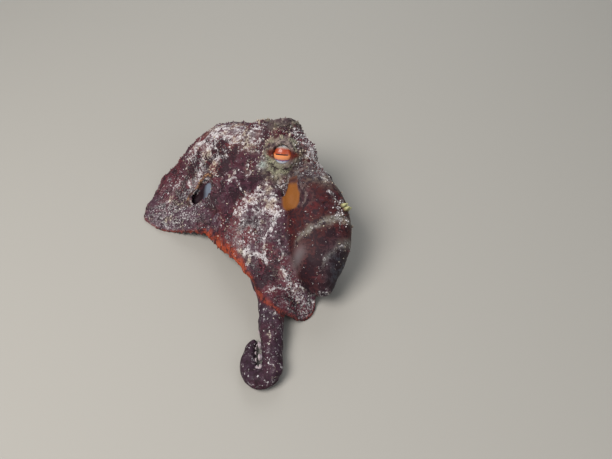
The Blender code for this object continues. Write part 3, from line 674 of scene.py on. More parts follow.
# Markings. The largest are placed as (x, y, radius) in plan, and the veins as routes of (x, y).
DARK_PATCHES = [
    (-0.033, 0.039, 0.0055), (-0.018, 0.0055, 0.006), (-0.011, -0.016, 0.004),
    (0.002, -0.0405, 0.005), (0.0145, -0.0545, 0.003), (-0.052, 0.04, 0.0055),
    (-0.03, 0.028, 0.004), (-0.041, 0.034, 0.004), (-0.026, -0.006, 0.004),
    (0.023, 0.009, 0.004), (-0.06, 0.03, 0.006), (-0.007, 0.01, 0.0045),
    (-0.062, 0.022, 0.005), (0.024, -0.045, 0.0035), (-0.004, -0.046, 0.004),
    (-0.036, 0.01, 0.004),
]
PALE_PATCHES = [
    (-0.049, 0.047, 0.0045), (-0.043, 0.043, 0.0035), (-0.024, 0.019, 0.0035),
    (-0.0135, -0.001, 0.004), (-0.0185, -0.007, 0.0045), (-0.0005, -0.0065, 0.0038),
    (0.004, -0.012, 0.0034), (-0.0377, 0.056, 0.0065), (-0.028, 0.048, 0.006),
    (-0.0205, 0.054, 0.005), (-0.022, 0.041, 0.005), (0.0074, -0.0406, 0.0026),
    (0.001, -0.052, 0.003), (-0.0295, -0.005, 0.0026), (-0.012, 0.034, 0.0045),
    (0.017, -0.05, 0.004), (-0.036, 0.03, 0.0028), (-0.007, 0.0035, 0.003),
    (-0.064, 0.037, 0.0034), (-0.055, 0.034, 0.003), (-0.0485, 0.03, 0.003),
    (-0.068, 0.027, 0.003), (-0.055, 0.0475, 0.0045), (-0.05, 0.052, 0.0035),
]
VEINS = [
    [(-0.0175, -0.027), (-0.0109, -0.032), (-0.0039, -0.0329), (-0.0021, -0.0288)],
    [(-0.0039, -0.0329), (0.0021, -0.0379), (0.0074, -0.0406), (0.0104, -0.046), (0.018, -0.049)],
    [(0.0104, -0.046), (0.0093, -0.0508), (0.0001, -0.0524)],
    [(0.0043, -0.0122), (0.0009, -0.0216), (-0.0035, -0.025), (-0.0039, -0.0329)],
    [(0.0074, -0.0406), (0.0085, -0.034), (0.0065, -0.027)],
    [(-0.024, 0.019), (-0.0185, 0.01), (-0.0135, -0.001)],
    [(-0.0109, -0.032), (-0.013, -0.039)],
]
# The mantle's two pale bands: a place on each, its slope in plan, half its width, and its start in x.
MANTLE_BANDS = [(0.03, -0.0243, 0.43, 0.0019, 0.014), (0.0385, -0.0372, 0.95, 0.0018, 0.029)]


def gathered(places):
    """1 over each of some places of (x, y, radius), falling off round it."""
    total = np.zeros(len(points))
    for x, y, radius in places:
        total = np.maximum(total, spot(x, y, radius))
    return total


def drawn(routes, width):
    """1 along wavering routes in plan: exp(-(distance / width)**2) of the nearest leg."""
    nearest = np.full(len(points), 9.0)
    waver = np.stack([lumps(0.0042, 31), lumps(0.0042, 32)], -1)
    wavering = points[:, :2] + 0.0022 * waver
    for route in routes:
        for start, end in zip(np.array(route), np.array(route[1:])):
            leg = end - start
            along = np.clip((wavering - start) @ leg / (leg @ leg), 0, 1)
            nearest = np.minimum(nearest, np.linalg.norm(wavering - start - along[:, None] * leg, axis=1))
    return bell(nearest, 0, width)


def put_share(piece, name, values):
    """Stores a number for every point of a mesh."""
    layer = piece.data.attributes.new(name, "FLOAT", "POINT")
    layer.data.foreach_set("value", values.astype(np.float32))


def put_tone(piece, colours):
    """Stores a colour for every point of a mesh."""
    layer = piece.data.color_attributes.new("tone", "FLOAT_COLOR", "POINT")
    opaque = np.column_stack([colours, np.ones(len(colours))])
    layer.data.foreach_set("color", opaque.astype(np.float32).ravel())


def patchy(size, seed, low, high):
    """0 to 1 in patches about size metres apart: a smooth step from low to high over soft lumps."""
    return smooth_step(low, high, lumps(size, seed))


# Places with markings of their own, as shares from 0 to 1.
above = smooth_step(-0.2, 0.2, normals[:, 2])
left_lobe = spot(-0.064, 0.014, 0.026)
front_lobe = spot(0.026, -0.05, 0.022)
shoulder = spot(-0.026, 0.054, 0.018)
chest = spot(-0.002, 0.000, 0.015)
knee = spot(-0.013, -0.022, 0.017)
flank = np.clip(1.9 * spot(-0.042, 0.037, 0.017), 0, 1)
pad = spot(0.003, 0.0145, 0.0065) * (1 - on_mantle)
dark_patches = gathered(DARK_PATCHES)
pale_patches = gathered(PALE_PATCHES)
crust = (on_mantle + on_head) * smooth_step(0.018, 0.03, points[:, 2]) * patchy(0.006, 42, -0.6, 0.4)
crust *= smooth_step(0.25, 0.6, normals[:, 0]) * (1 - smooth_step(0.78, 0.97, normals[:, 0]) * 0.85)
crust *= between(-0.038, -0.016, 0.034, 0.05, points[:, 1])
neck = on_mantle * smooth_step(-0.006, 0.008, points[:, 1]) * (1 - on_funnel)
free_arm = smooth_step(1.02, 1.06, share) * (1 - on_mantle)
bands = np.zeros(len(points))
for x, y, slope, half, start in MANTLE_BANDS:
    aside = (points[:, 1] - y - slope * (points[:, 0] - x)) / math.hypot(1, slope)
    aside = aside + 0.0012 * lumps(0.004, 13)
    band = bell(aside, 0, half) * smooth_step(start, start + 0.004, points[:, 0])
    bands = np.maximum(bands, band * (0.75 + 0.25 * lumps(0.003, 14)) * on_mantle)

# How strongly each kind of pale mark shows, and how much dark mottling there is.
fine_flecks = 0.2 + 0.62 * left_lobe + 0.62 * front_lobe + 0.42 * knee + 0.2 * shoulder
fine_flecks = np.clip(fine_flecks + 0.05 * free_arm * above, 0, 1) * (1 - 0.85 * on_mantle)
fine_flecks = np.clip(fine_flecks + 0.6 * crust + 0.4 * neck + 0.7 * bands, 0, 1)
veins = 0.12 + 0.44 * knee + 0.45 * chest + 0.4 * shoulder + 0.15 * free_arm * above
veins = np.clip(np.clip(veins, 0, 1) * (1 - on_mantle) + 0.5 * neck, 0, 1)
blobs = 0.14 + 0.5 * chest + 0.32 * shoulder + 0.24 * flank + 0.2 * front_lobe + 0.3 * on_head
blobs = blobs + 0.15 * free_arm * above + 0.15 * knee
blobs = np.clip(blobs + 0.75 * pale_patches - 0.6 * dark_patches, 0, 1) * (1 - 0.8 * on_mantle)
blobs = np.clip(blobs + 0.6 * crust + 0.25 * neck + 0.25 * bands, 0, 1)
strands = drawn(VEINS, 0.0017) * (0.72 + 0.3 * lumps(0.007, 33))
strands = np.clip(strands + 0.7 * flank + 0.44 * chest + 0.42 * knee, 0, 1) * (1 - on_mantle)
strands = np.clip(strands + 0.36 * free_arm * above, 0, 1)
strands = np.clip(strands - 0.4 * dark_patches * (1 - 0.5 * flank), 0, 1)
shade = 0.25 + 0.2 * flank + 0.15 * on_mantle + 0.15 * left_lobe + 0.15 * front_lobe - 0.1 * chest
shade = shade + 0.8 * dark_patches - 0.6 * pale_patches - 0.4 * bands - 0.2 * crust

PLUM = (0.054, 0.017, 0.028)
MAROON = (0.1, 0.013, 0.016)
MANTLE_MAROON = (0.056, 0.013, 0.013)
SLATE = (0.04, 0.038, 0.048)
LILAC = (0.16, 0.12, 0.15)
HIGHLIGHT_HAZE = (0.165, 0.15, 0.155)
SAGE = (0.2, 0.2, 0.16)
OLIVE = (0.27, 0.26, 0.18)
MAUVE = (0.24, 0.185, 0.165)
ORANGE = (0.36, 0.06, 0.02)
OCHRE = (0.21, 0.072, 0.015)
TAN = (0.3, 0.17, 0.09)
DUSK = (0.042, 0.02, 0.028)
POCKET_LIGHT_BLUE = (0.3, 0.36, 0.46)
MINT = (0.4, 0.46, 0.42)
BLOOD = (0.095, 0.016, 0.011)
NIGHT = (0.026, 0.018, 0.03)
DARK = (0.02, 0.009, 0.013)
WHITE = (0.66, 0.62, 0.62)
CREAM = (0.5, 0.42, 0.33)

wide_noise = lumps(0.011, 11)
red = smooth_step(-0.15, 0.35, wide_noise) * (0.55 + 0.45 * knee) + 0.5 * flank
head_top = on_head * smooth_step(0.05, 0.06, points[:, 2])
below_eye = spot(0.0135, 0.012, 0.0045) * (1 - on_funnel)
crest = between(0.03, 0.035, 0.042, 0.047, points[:, 1]) * on_head
# Slate blue-grey on the mantle's underside near the floor and at its hanging end: partly its own colour,
# partly painted shade under the bag.
underside_and_shade = 1.3 * spot(0.044, -0.045, 0.012) + 1 - smooth_step(0.01, 0.02, points[:, 2])
# Painted highlight: a smooth pale lilac-grey patch on the side of the mantle, with the marks left out.
blurred_highlight = spot(0.0175, -0.0375, 0.0042)
facing = between(168, 200, 288, 312, azimuth)
bright = between(200, 225, 252, 275, azimuth)
from_margin = (1 - share) * around(WEB_REACH, azimuth)
rim = smooth_step(0, 1, 1 - from_margin / (0.0018 + 0.0037 * bright)) * on_web * facing
orange = rim * (0.5 + 0.5 * bright + 0.25 * left_lobe)
collar = collar * (1 - on_funnel)
folds = np.cos(2 * math.pi * (by_funnel - 1.35) / 0.52 + 2.5 * lumps(0.01, 20))
eye_patch = spot(-0.0048, 0.0186, 0.0026) * smooth_step(0.045, 0.048, points[:, 2])
upper_rib = rib * smooth_step(-0.003, 0.001, hole_y - 0.4 * hole_x)
# The lit side of the gap's inside, where painted light goes.
lit_side = smooth_step(-0.001, 0.003, hole_x - 0.4 * hole_y) * (hole_share < 0.97)

# The skin's tones, laid over each other in this order, each by an amount from 0 to 1.
tone = np.tile(PLUM, (len(points), 1))
for colour, amount in [
    (MAROON, red),
    (LILAC, 0.28 * left_lobe + 0.15 * shoulder + 0.12 * front_lobe + 0.12 * knee),
    (OCHRE, 0.3 * shoulder * patchy(0.005, 26, -0.2, 0.5)),
    (MAUVE, 0.36 * on_head * patchy(0.006, 12, -0.3, 0.5)),
    (DUSK, 0.6 * head_top * patchy(0.0045, 17, 0.05, 0.4)),
    (OLIVE, 0.9 * pad * patchy(0.003, 21, -0.7, 0.2)),
    (DUSK, 0.45 * below_eye),
    (OLIVE, 0.8 * eye_ring * patchy(0.0025, 15, -0.8, 0.3)),
    (MAUVE, 0.9 * eye_hood),
    (DUSK, 0.8 * eye_hood * patchy(0.002, 16, 0.15, 0.45)),
    (DUSK, 0.75 * crest * patchy(0.0035, 43, -0.6, 0.2)),
    (BLOOD, eye_corner),
    (MANTLE_MAROON, on_mantle),
    (MAROON, 0.5 * on_mantle * patchy(0.0045, 22, 0.0, 0.5)),
    (SAGE, 0.4 * neck * patchy(0.004, 19, -0.3, 0.4)),
    (NIGHT, 0.6 * free_arm),
    (SAGE, 0.75 * bands),
    # The mantle's underside, partly its own slate colour and partly painted shade.
    (SLATE, on_mantle * np.clip(underside_and_shade, 0, 1)),
    # The painted highlight on the mantle's side.
    (HIGHLIGHT_HAZE, 0.65 * blurred_highlight),
    (ORANGE, orange * patchy(0.003, 23, -0.9, 0.1)),
    (DUSK, 0.7 * collar),
    (MAUVE, 0.5 * collar * smooth_step(-0.2, 0.9, folds)),
    (MINT, 0.75 * eye_patch * patchy(0.0013, 24, -0.5, 0.2)),
    (OCHRE, on_funnel),
    (DUSK, 0.85 * on_funnel * smooth_step(0.8, 0.95, up_funnel)),
    (TAN, 0.9 * upper_rib),
    # Painted shade darkens the inside of the gap, and painted light makes its lit side pale blue-grey.
    (DARK, in_hole),
    (POCKET_LIGHT_BLUE, 0.5 * in_hole * lit_side),
    (LILAC, 0.6 * smooth_step(0.1, 0.7, -normals[:, 2])),
]:
    tone += (np.array(colour) - tone) * np.clip(amount, 0, 1)[:, None]

# The funnel, the gap, the painted highlight on the mantle's side, the lids and a few other places are
# plainer than the rest.
plain = np.clip(on_funnel + 0.9 * in_hole + 0.8 * blurred_highlight, 0, 1)
shade = shade * (1 - plain) - 1.2 * plain
plain = plain + upper_rib + 0.85 * lids + 0.75 * pad + 0.9 * eye_corner + 0.7 * rim
marks = 1 - np.clip(plain, 0, 1)
blobs = blobs * marks
put_share(skin, "fine_flecks", fine_flecks * marks)
put_share(skin, "veins", veins * marks)
put_share(skin, "blobs", blobs)
put_share(skin, "strands", strands * marks)
put_share(skin, "shade", shade)
put_tone(skin, tone)


class Value:
    """A socket of a material's nodes. Sums and products of such values add Math nodes."""

    def __init__(self, paint, socket):
        self.paint = paint
        self.socket = socket

    def maths(self, operation, first, second):
        return self.paint.add("Math", {0: first, 1: second}, operation=operation)

    def __add__(self, other):
        return self.maths("ADD", self, other)

    def __radd__(self, other):
        return self.maths("ADD", other, self)

    def __sub__(self, other):
        return self.maths("SUBTRACT", self, other)

    def __rsub__(self, other):
        return self.maths("SUBTRACT", other, self)

    def __mul__(self, other):
        return self.maths("MULTIPLY", self, other)

    def __rmul__(self, other):
        return self.maths("MULTIPLY", other, self)

    def __abs__(self):
        return self.maths("ABSOLUTE", self, 0.0)


class Paint:
    """A material with one Principled shader, whose constants are set on its own sockets."""

    def __init__(self, name, **constants):
        self.material = bpy.data.materials.new(name)
        self.material.use_nodes = True
        self.nodes = self.material.node_tree.nodes
        self.links = self.material.node_tree.links
        self.shader = self.nodes["Principled BSDF"]
        for socket, value in constants.items():
            self.shader.inputs[socket.replace("_", " ")].default_value = value

    def add(self, kind, inputs, out=0, stops=None, **settings):
        """Adds a node: its settings or a ramp's stops, then the values or links of its sockets."""
        node = self.nodes.new("ShaderNode" + kind)
        for setting, value in settings.items():
            setattr(node, setting, value)
        if stops:
            while len(node.color_ramp.elements) < len(stops):
                node.color_ramp.elements.new(0.5)
            for element, (place, colour) in zip(node.color_ramp.elements, stops):
                element.position = place
                element.color = (*colour, 1)
        for socket, value in inputs.items():
            if isinstance(value, Value):
                self.links.new(value.socket, node.inputs[socket])
            else:
                node.inputs[socket].default_value = value
        return Value(self, node.outputs[out])

    def attribute(self, name, out="Fac"):
        return self.add("Attribute", {}, out, attribute_name=name)

    def place(self):
        return self.add("TexCoord", {}, "Object")

    def shaken(self, size, amount):
        """The place, moved about by noise, so that what is drawn there gets ragged edges."""
        noise = self.add("TexNoise", {"Vector": self.place(), "Scale": 1 / size, "Detail": 2}, "Color")
        sockets = {0: noise, 1: (amount,) * 3, 2: self.place()}
        return self.add("VectorMath", sockets, operation="MULTIPLY_ADD")

    def noise(self, size, detail=2, roughness=0.5, distortion=0.0, place=None):
        """Soft noise from 0 to 1 with lumps about size metres apart."""
        sockets = {"Scale": 1 / size, "Detail": detail, "Roughness": roughness, "Distortion": distortion}
        return self.add("TexNoise", {"Vector": place or self.place(), **sockets})

    def cells(self, size, place, feature="F1", out=0):
        """Distance in a net of random cells size metres wide: from their middles, or from their edges."""
        return self.add("TexVoronoi", {"Vector": place, "Scale": 1 / size}, out, feature=feature)

    def rise(self, value, low, high):
        """0 where the value is below low, 1 above high, and a smooth step between."""
        sockets = {"Value": value, "From Min": low, "From Max": high}
        return self.add("MapRange", sockets, interpolation_type="SMOOTHSTEP")

    def flecks(self, size, place, amount):
        """Ragged dots in random cells, wider with the amount and with each cell's own draw."""
        draw = self.add("SeparateColor", {"Color": self.cells(size, place, out="Color")})
        radius = amount * (draw * 1.1 - 0.05)
        return self.rise(radius - self.cells(size, place), -0.06, 0.06)

    def mix(self, factor, first, second, kind="MIX"):
        """The first colour, going over to the second as the factor rises from 0 to 1."""
        first, second = ((*c, 1) if isinstance(c, tuple) else c for c in (first, second))
        return self.add("Mix", {0: factor, 6: first, 7: second}, 2, data_type="RGBA", blend_type=kind)

    def put(self, **values):
        for socket, value in values.items():
            self.links.new(value.socket, self.shader.inputs[socket.replace("_", " ")])

    def bump(self, height, depth):
        """Feeds the shader's normal from a height of 0 to 1 that stands for a depth in metres."""
        self.put(Normal=self.add("Bump", {"Height": height, "Distance": depth, "Strength": 1.0}))


# The skin's material lays a soft mottle and dark patches over the tones, and the pale marks over
# these: a net of veins, streaks, clouds, fine grains, and ragged flecks of three sizes.
paint = Paint("octopus_skin", Roughness=0.6, Specular_IOR_Level=0.13)
ragged = paint.shaken(0.0011, 0.0022)
wavy = paint.shaken(0.0045, 0.008)
upright = paint.add("VectorMath", {0: wavy, 1: (1.0, 0.42, 0.42)}, operation="MULTIPLY")
fine = paint.attribute("fine_flecks")
vein = paint.attribute("veins")
blob = paint.attribute("blobs")
strand = paint.attribute("strands")
shade = paint.attribute("shade")
colour = paint.attribute("tone", "Color")
marked = paint.rise(shade, -0.8, 0.0)
mottle = paint.rise(paint.noise(0.003, 3, 0.65), 0.48, 0.66)
colour = paint.mix(mottle * 0.18 * paint.rise(fine + vein + blob, 0.05, 0.5), colour, LILAC)
dark = paint.rise(paint.noise(0.0044, 4, 0.66, 0.6) + shade * 0.25, 0.58, 0.67)
colour = paint.mix(dark * 0.85, colour, DARK)
dark_specks = paint.rise(paint.noise(0.0019, 3, 0.65) + shade * 0.1, 0.54, 0.64)
colour = paint.mix(dark_specks * 0.6 * marked, colour, DARK)
grit = paint.rise(paint.noise(0.001, 2, 0.6), 0.4, 0.62)
broken = paint.rise(paint.noise(0.008, 2, 0.5), 0.38, 0.54)
lines = 1.0 - paint.rise(paint.cells(0.0066, wavy, "DISTANCE_TO_EDGE"), 0.03, 0.24)
holes = 1.0 - paint.rise(paint.noise(0.005, 3, 0.6, 0.7), 0.5, 0.59) * 0.85
net = lines * broken * holes * paint.rise(vein, 0.25, 0.9) * (0.35 + grit * 0.65)
cloud = paint.rise(paint.noise(0.003, 4, 0.72, 0.8) + blob * 0.24, 0.665, 0.71)
cloud = cloud * holes * marked * (0.25 + grit * 0.75)
streaks = paint.rise(paint.noise(0.0024, 4, 0.72, place=upright) * 1.7 + strand, 1.46, 1.6)
streaks = streaks * holes * (0.3 + grit * 0.7)
salt = paint.rise(paint.noise(0.00095, 3, 0.75), 0.5, 0.6)
salt = salt * paint.rise(paint.noise(0.0045, 2, 0.6), 0.36, 0.58)
specks = paint.flecks(0.0015, ragged, fine * 0.5)
dots = paint.flecks(0.0027, ragged, 0.05 + fine * 0.2 + blob * 0.28)
patches = paint.flecks(0.0048, paint.shaken(0.0022, 0.004), blob * 0.4) * (0.4 + grit * 0.6)
pale = paint.mix(paint.rise(paint.noise(0.008, 2), 0.5, 0.66), WHITE, CREAM)
for amount in (
    net * 0.75, streaks * 0.8, cloud * 0.9, salt * paint.rise(fine, 0.25, 0.95) * 0.75,
    specks * 0.7 * marked, dots * 0.8 * marked, patches * 0.85,
):
    colour = paint.mix(amount, colour, pale)
paint.put(Base_Color=colour)
raised = paint.noise(0.0016, 3, 0.6) * 0.5 + (specks + dots) * 0.25 + patches * 0.2
paint.bump(raised, 0.0005)
skin.data.materials.append(paint.material)
flesh_nodes = [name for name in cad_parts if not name.startswith("eye_")]
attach(skin, "root")
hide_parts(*flesh_nodes)

# Papillae
# Small soft points of skin stand up all over the head, mantle and web. They are taller over the eyes and
# along the back, and many of them are white.

PAPILLA_COUNT = 2600
PAPILLA_SIDES = 6
PAPILLA_PROFILE = [(1.0, -0.35), (0.86, 0.1), (0.52, 0.55), (0.2, 0.9)]
BAKE_PATCH = 0.003
# The tall ones: first the pale green tuft on the back, then a few over each eye.
TUFT = 5
TUFT_GREEN = (0.42, 0.4, 0.2)
TUFT_SIZE = (0.0019, 0.004)
TALL_SIZE = (0.0011, 0.0034)
TALL_PAPILLAE = [
    (0.046, -0.0085, 0.044), (0.047, -0.0102, 0.0425), (0.0462, -0.0115, 0.044),
    (0.0478, -0.0088, 0.0405), (0.045, -0.01, 0.0455),
    (0.0035, 0.027, 0.065), (0.012, 0.027, 0.0655), (0.0035, 0.038, 0.065),
    (0.012, 0.038, 0.0655), (0.008, 0.0325, 0.061), (-0.006, 0.041, 0.062),
]


def stamped(roots, outs, widths, heights, profile, sides):
    """Small turned shapes at many roots in one array (shape, point, xyz), and their faces.

    A ring lies at root + out * height, and its points at cos and sin of an angle times its width.
    """
    level = unit(np.cross(np.broadcast_to([0.31, 0.17, 0.94], outs.shape), outs))
    upwards = np.cross(outs, level)
    angle = round_angles(sides)[None, :, None]
    spokes = np.cos(angle) * level[:, None] + np.sin(angle) * upwards[:, None]
    lifts = [(outs * (heights * height)[:, None])[:, None] for _, height in profile]
    rings = [
        roots[:, None] + spokes * (widths * width)[:, None, None] + lift
        for (width, _), lift in zip(profile, lifts)
    ]
    solid = np.concatenate([*rings, roots[:, None] + lifts[-1]], axis=1)
    size = solid.shape[1]
    faces = []
    for low in range(0, (len(profile) - 1) * sides, sides):
        for side in range(sides):
            after, high = (side + 1) % sides, low + sides
            faces.append((low + side, low + after, high + after, high + side))
    last = (len(profile) - 1) * sides
    faces += [(last + side, last + (side + 1) % sides, size - 1) for side in range(sides)]
    starts = range(0, len(roots) * size, size)
    return solid, [tuple(corner + start for corner in face) for start in starts for face in faces]


def by_ring(first, second, shares, sides):
    """Tones of stamped shapes, going from the first to the second by each ring's share."""
    share = np.repeat(shares, [sides] * (len(shares) - 1) + [1])[None, :, None]
    return (first * (1 - share) + second * share).reshape(-1, 3)


def bake_map(piece, roots, size):
    """Gives each small shape of size points its own patch of the map, at its root's place on it."""
    turn = round_angles(size)
    patch = 0.5 * BAKE_PATCH * np.stack([np.cos(turn), np.sin(turn)], -1)
    by_point = (roots[:, None] + patch[None]).reshape(-1, 2)
    corners = numbers(piece.data.loops, "vertex_index", 1, np.int32).ravel()
    layer = piece.data.uv_layers.new(name="OFBake")
    layer.data.foreach_set("uv", by_point[corners].astype(np.float32).ravel())


draw = np.random.default_rng(7)
outside = points[:, 2] > 0.004
chance = outside * (1 - in_funnel_run * (by_funnel < 1.5)) * (1 - in_hole)
chance = chance * (1 - smooth_step(1.0, 1.05, share) * (1 - on_mantle))
chance = chance * (on_web * (1 - rim) + 1.2 * on_head + 0.32 * on_mantle + 1.2 * crust) * above
near_eye = np.min([np.linalg.norm(points - centre, axis=1) for centre in EYE_CENTRES.values()], axis=0)
chance = chance * (0.35 + 1.3 * patchy(0.009, 41, -0.3, 0.5))
chance = chance * np.where(near_eye < EYEBALL_RADIUS + 0.0026, 0.15, 1.0) * (1 - 0.8 * lids)
picked = draw.choice(len(points), PAPILLA_COUNT, replace=False, p=chance / chance.sum())
ridge = on_mantle[picked] * smooth_step(0.036, 0.046, points[picked, 0]) + 0.6 * on_head[picked]
ridge = np.clip(ridge, 0, 1)
size = draw.gamma(3.0, 1 / 3, PAPILLA_COUNT)
widths = 0.00026 + 0.00018 * size + 0.00022 * ridge * draw.random(PAPILLA_COUNT)
heights = 0.00035 + 0.00035 * size + 0.0009 * ridge * draw.random(PAPILLA_COUNT)
outs = unit(normals[picked] + draw.normal(0, 0.22, (PAPILLA_COUNT, 3)))
tall = [int(np.argmin(np.linalg.norm(points - place, axis=1))) for place in TALL_PAPILLAE]
picked[:len(tall)] = tall
widths[:len(tall)], heights[:len(tall)] = TALL_SIZE
widths[:TUFT], heights[:TUFT] = TUFT_SIZE
outs[:len(tall)] = normals[tall]
solid, faces = stamped(points[picked], outs, widths, heights, PAPILLA_PROFILE, PAPILLA_SIDES)
papillae = put_mesh("papillae", solid.reshape(-1, 3), faces)
pale_share = 0.06 + 0.3 * blobs[picked] + 0.18 * ridge + 0.3 * on_mantle[picked]
pale_tip = draw.random(PAPILLA_COUNT) < pale_share
base_tone = tone[picked] * draw.uniform(0.7, 1.5, PAPILLA_COUNT)[:, None]
cream_tone = np.array(CREAM) * draw.uniform(0.5, 1.2, (PAPILLA_COUNT, 1))
tip_tone = np.where(pale_tip[:, None], cream_tone, base_tone * 1.2)
tip_tone = np.where((pale_tip & (crust[picked] > 0.3))[:, None], WHITE, tip_tone)
tip_tone[:TUFT] = TUFT_GREEN
rise = smooth_step(0.0, 0.6, np.array([height for _, height in PAPILLA_PROFILE] + [1.0]))
put_tone(papillae, by_ring(base_tone[:, None], tip_tone[:, None], rise, PAPILLA_SIDES))
height_angle = np.arctan2(points[picked, 2] - 0.02, np.linalg.norm(points[picked, :2] - CROWN, axis=1))
bake_map(papillae, np.stack([azimuth[picked] / 360, 0.5 + height_angle / math.pi], -1), solid.shape[1])
paint = Paint("octopus_papillae", Roughness=0.6, Specular_IOR_Level=0.16)
paint.put(Base_Color=paint.attribute("tone", "Color"))
papillae.data.materials.append(paint.material)
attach(papillae, "root")

# Suckers
# Two rows of suckers line the underside of every arm out to its tip. Each is a cup of muscle with a
# pale, dished face.

SUCKER_ANGLE = math.radians(34)
SUCKER_START = 0.014
SUCKER_STEP = 0.62
SUCKER_LEAST_STEP = 0.0011
SUCKER_SIZE = 0.36
SUCKER_HEIGHT = 0.3
SUCKER_SIDES = 10
SUCKER_FACE = (0.46, 0.38, 0.38)
# How pale each ring of a sucker is, and last its middle.
SUCKER_PALENESS = [0.0, 0.2, 0.7, 1.0, 0.6, 0.3]
SUCKER_PROFILE = [(0.7, -0.45), (0.78, 0.1), (1.00, 0.62), (0.9, 0.8), (0.52, 0.45)]

roots, outs, sizes, maps = [], [], [], []
for number, arm in enumerate(arms.values()):
    place, row = SUCKER_START, 1
    while place < arm.length - 0.0004:
        k = min(int(place / STEP), len(arm.radius) - 1)
        angle = -math.pi / 2 + arm.roll[k] + row * SUCKER_ANGLE
        aside, upwards = arm.side[k] * math.cos(angle), arm.up[k] * math.sin(angle)
        roots.append(arm.points[k] + aside * arm.half_width[k] + upwards * arm.radius[k])
        outs.append(aside + upwards)
        sizes.append(arm.radius[k])
        maps.append(((number + 0.5 + 0.2 * row) / len(arms), 0.02 + 0.96 * place / arm.length))
        place += max(SUCKER_STEP * arm.radius[k], SUCKER_LEAST_STEP)
        row = -row
roots, outs, sizes = np.array(roots), np.array(outs), np.array(sizes)
widths, heights = sizes * SUCKER_SIZE, sizes * SUCKER_HEIGHT
solid, faces = stamped(roots, outs, widths, heights, SUCKER_PROFILE, SUCKER_SIDES)
solid[..., 2] = np.maximum(solid[..., 2], 0)
suckers = put_mesh("suckers", solid.reshape(-1, 3), faces)
bake_map(suckers, np.array(maps), solid.shape[1])
base = np.tile(LILAC, (len(roots), 1, 1))
put_tone(suckers, by_ring(base, np.array(SUCKER_FACE), SUCKER_PALENESS, SUCKER_SIDES))
paint = Paint("octopus_suckers", Roughness=0.45, Specular_IOR_Level=0.45)
paint.put(Base_Color=paint.attribute("tone", "Color"))
suckers.data.materials.append(paint.material)
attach(suckers, "root")

# Eyes
# Two large eyes with a slit pupil that stays level. The iris is orange-red between a pale crescent above
# and another below, under a clear cornea.

IRIS_WIDE = 1.15
# The pupil's half height and half length, as shares of the eyeball's radius.
PUPIL_HIGH = 0.052
PUPIL_LONG = 0.5
PUPIL_TONE = (0.012, 0.006, 0.01)
# The eye's colours from its foot to its top, as a share of its height.
IRIS_STOPS = [
    (0.08, (0.3, 0.33, 0.42)), (0.16, (0.62, 0.68, 0.76)), (0.2, (0.55, 0.55, 0.66)),
    (0.235, (0.08, 0.05, 0.2)), (0.29, (0.62, 0.24, 0.11)), (0.44, (0.78, 0.27, 0.1)),
    (0.53, (0.4, 0.065, 0.02)), (0.7, (0.33, 0.045, 0.015)), (0.78, (0.36, 0.3, 0.27)),
    (0.86, (0.55, 0.63, 0.7)), (0.95, (0.2, 0.2, 0.22)),
]

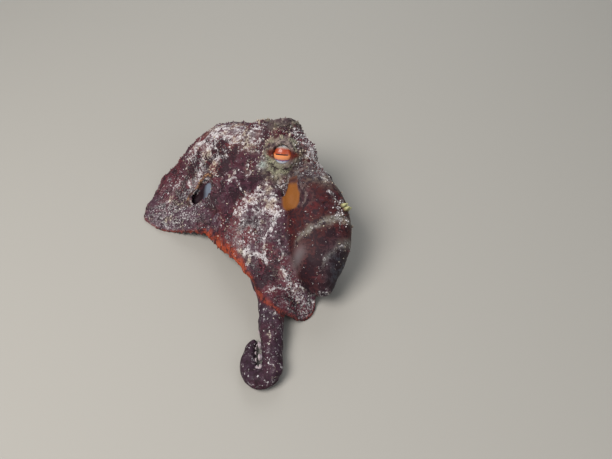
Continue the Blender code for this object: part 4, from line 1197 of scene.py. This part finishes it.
for name in EYE_CENTRES:
    centre, along, high, out = eye_frame(name)
    rings = ball_rings(0, EYEBALL_RADIUS, 60, 96)
    turned = rings[..., :1] * along + rings[..., 1:2] * high + rings[..., 2:] * out
    eye = put_mesh(name + "_ball", *closed_tube(centre + turned))
    local = np.concatenate([turned.reshape(-1, 3) / EYEBALL_RADIUS, [-out, out]])
    u, v = local @ along, local @ high
    crescent = v / np.sqrt(np.maximum(1 - (u / IRIS_WIDE) ** 2, 0.04))
    for share_name, values in (("across", u), ("up", v), ("crescent", np.clip(crescent, -1, 1))):
        put_share(eye, share_name, values)
    cornea = {"Coat_Weight": 0.25, "Coat_Roughness": 0.05}
    paint = Paint(name + "_iris", Roughness=0.35, Specular_IOR_Level=0.3, **cornea)
    streaks = paint.noise(0.0009, 2) * 0.1 - 0.05
    height = paint.attribute("crescent") * 0.5 + 0.5 + streaks
    iris = paint.add("ValToRGB", {"Fac": height}, stops=IRIS_STOPS)
    tall = paint.attribute("up") + 0.03
    long = paint.attribute("across")
    low_high = paint.rise(PUPIL_HIGH - abs(tall), -0.012, 0.012)
    slit = low_high * paint.rise(PUPIL_LONG - abs(long), -0.05, 0.05)
    paint.put(Base_Color=paint.mix(slit, iris, PUPIL_TONE))
    eye.data.materials.append(paint.material)
    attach(eye, "root")
    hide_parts(name)

# Stage
# A plain pale floor, soft studio light, and a camera that looks down at fifty degrees.

FOCAL_PIXELS = 677
PICTURE_WIDTH = 612
CAMERA_PLACE = (0.04073749, -0.26920889, 0.34144608)
CAMERA_TILT = math.radians(40)

corners = np.array([(-2.0, -2.0, 0.0), (2.0, -2.0, 0.0), (2.0, 2.0, 0.0), (-2.0, 2.0, 0.0)])
floor = put_mesh("floor", corners, [(0, 1, 2, 3)])
paint = Paint("pale_floor", Roughness=0.8)
paint.shader.inputs["Base Color"].default_value = (0.34, 0.32, 0.29, 1)
floor.data.materials.append(paint.material)


def soft_light(name, place, size, power, colour):
    """A square area light at a place, aimed at the animal's middle."""
    lamp = bpy.data.lights.new(name, "AREA")
    lamp.size = size
    lamp.energy = power
    lamp.color = colour
    light = placed(name, lamp)
    light.location = place
    aim = Vector((0, 0, 0.03)) - light.location
    light.rotation_euler = aim.to_track_quat("-Z", "Y").to_euler()


soft_light("key", (-0.35, -0.3, 0.75), 0.45, 9.0, (1.0, 0.98, 0.95))
soft_light("fill", (0.6, -0.5, 0.5), 0.6, 1.6, (0.92, 0.96, 1.0))
soft_light("back", (0.1, 0.7, 0.6), 0.5, 2.6, (0.95, 0.98, 1.0))
world = bpy.data.worlds.new("studio")
world.use_nodes = True
background = world.node_tree.nodes["Background"].inputs
background["Color"].default_value = (0.8, 0.86, 0.9, 1)
background["Strength"].default_value = 0.28
bpy.context.scene.world = world
bpy.context.scene.view_settings.view_transform = "Standard"

lens = bpy.data.cameras.new("camera")
lens.sensor_width = 36
lens.lens = lens.sensor_width * FOCAL_PIXELS / PICTURE_WIDTH
camera = placed("camera", lens)
camera.location = CAMERA_PLACE
camera.rotation_euler = (CAMERA_TILT, 0, 0)
bpy.context.scene.camera = camera
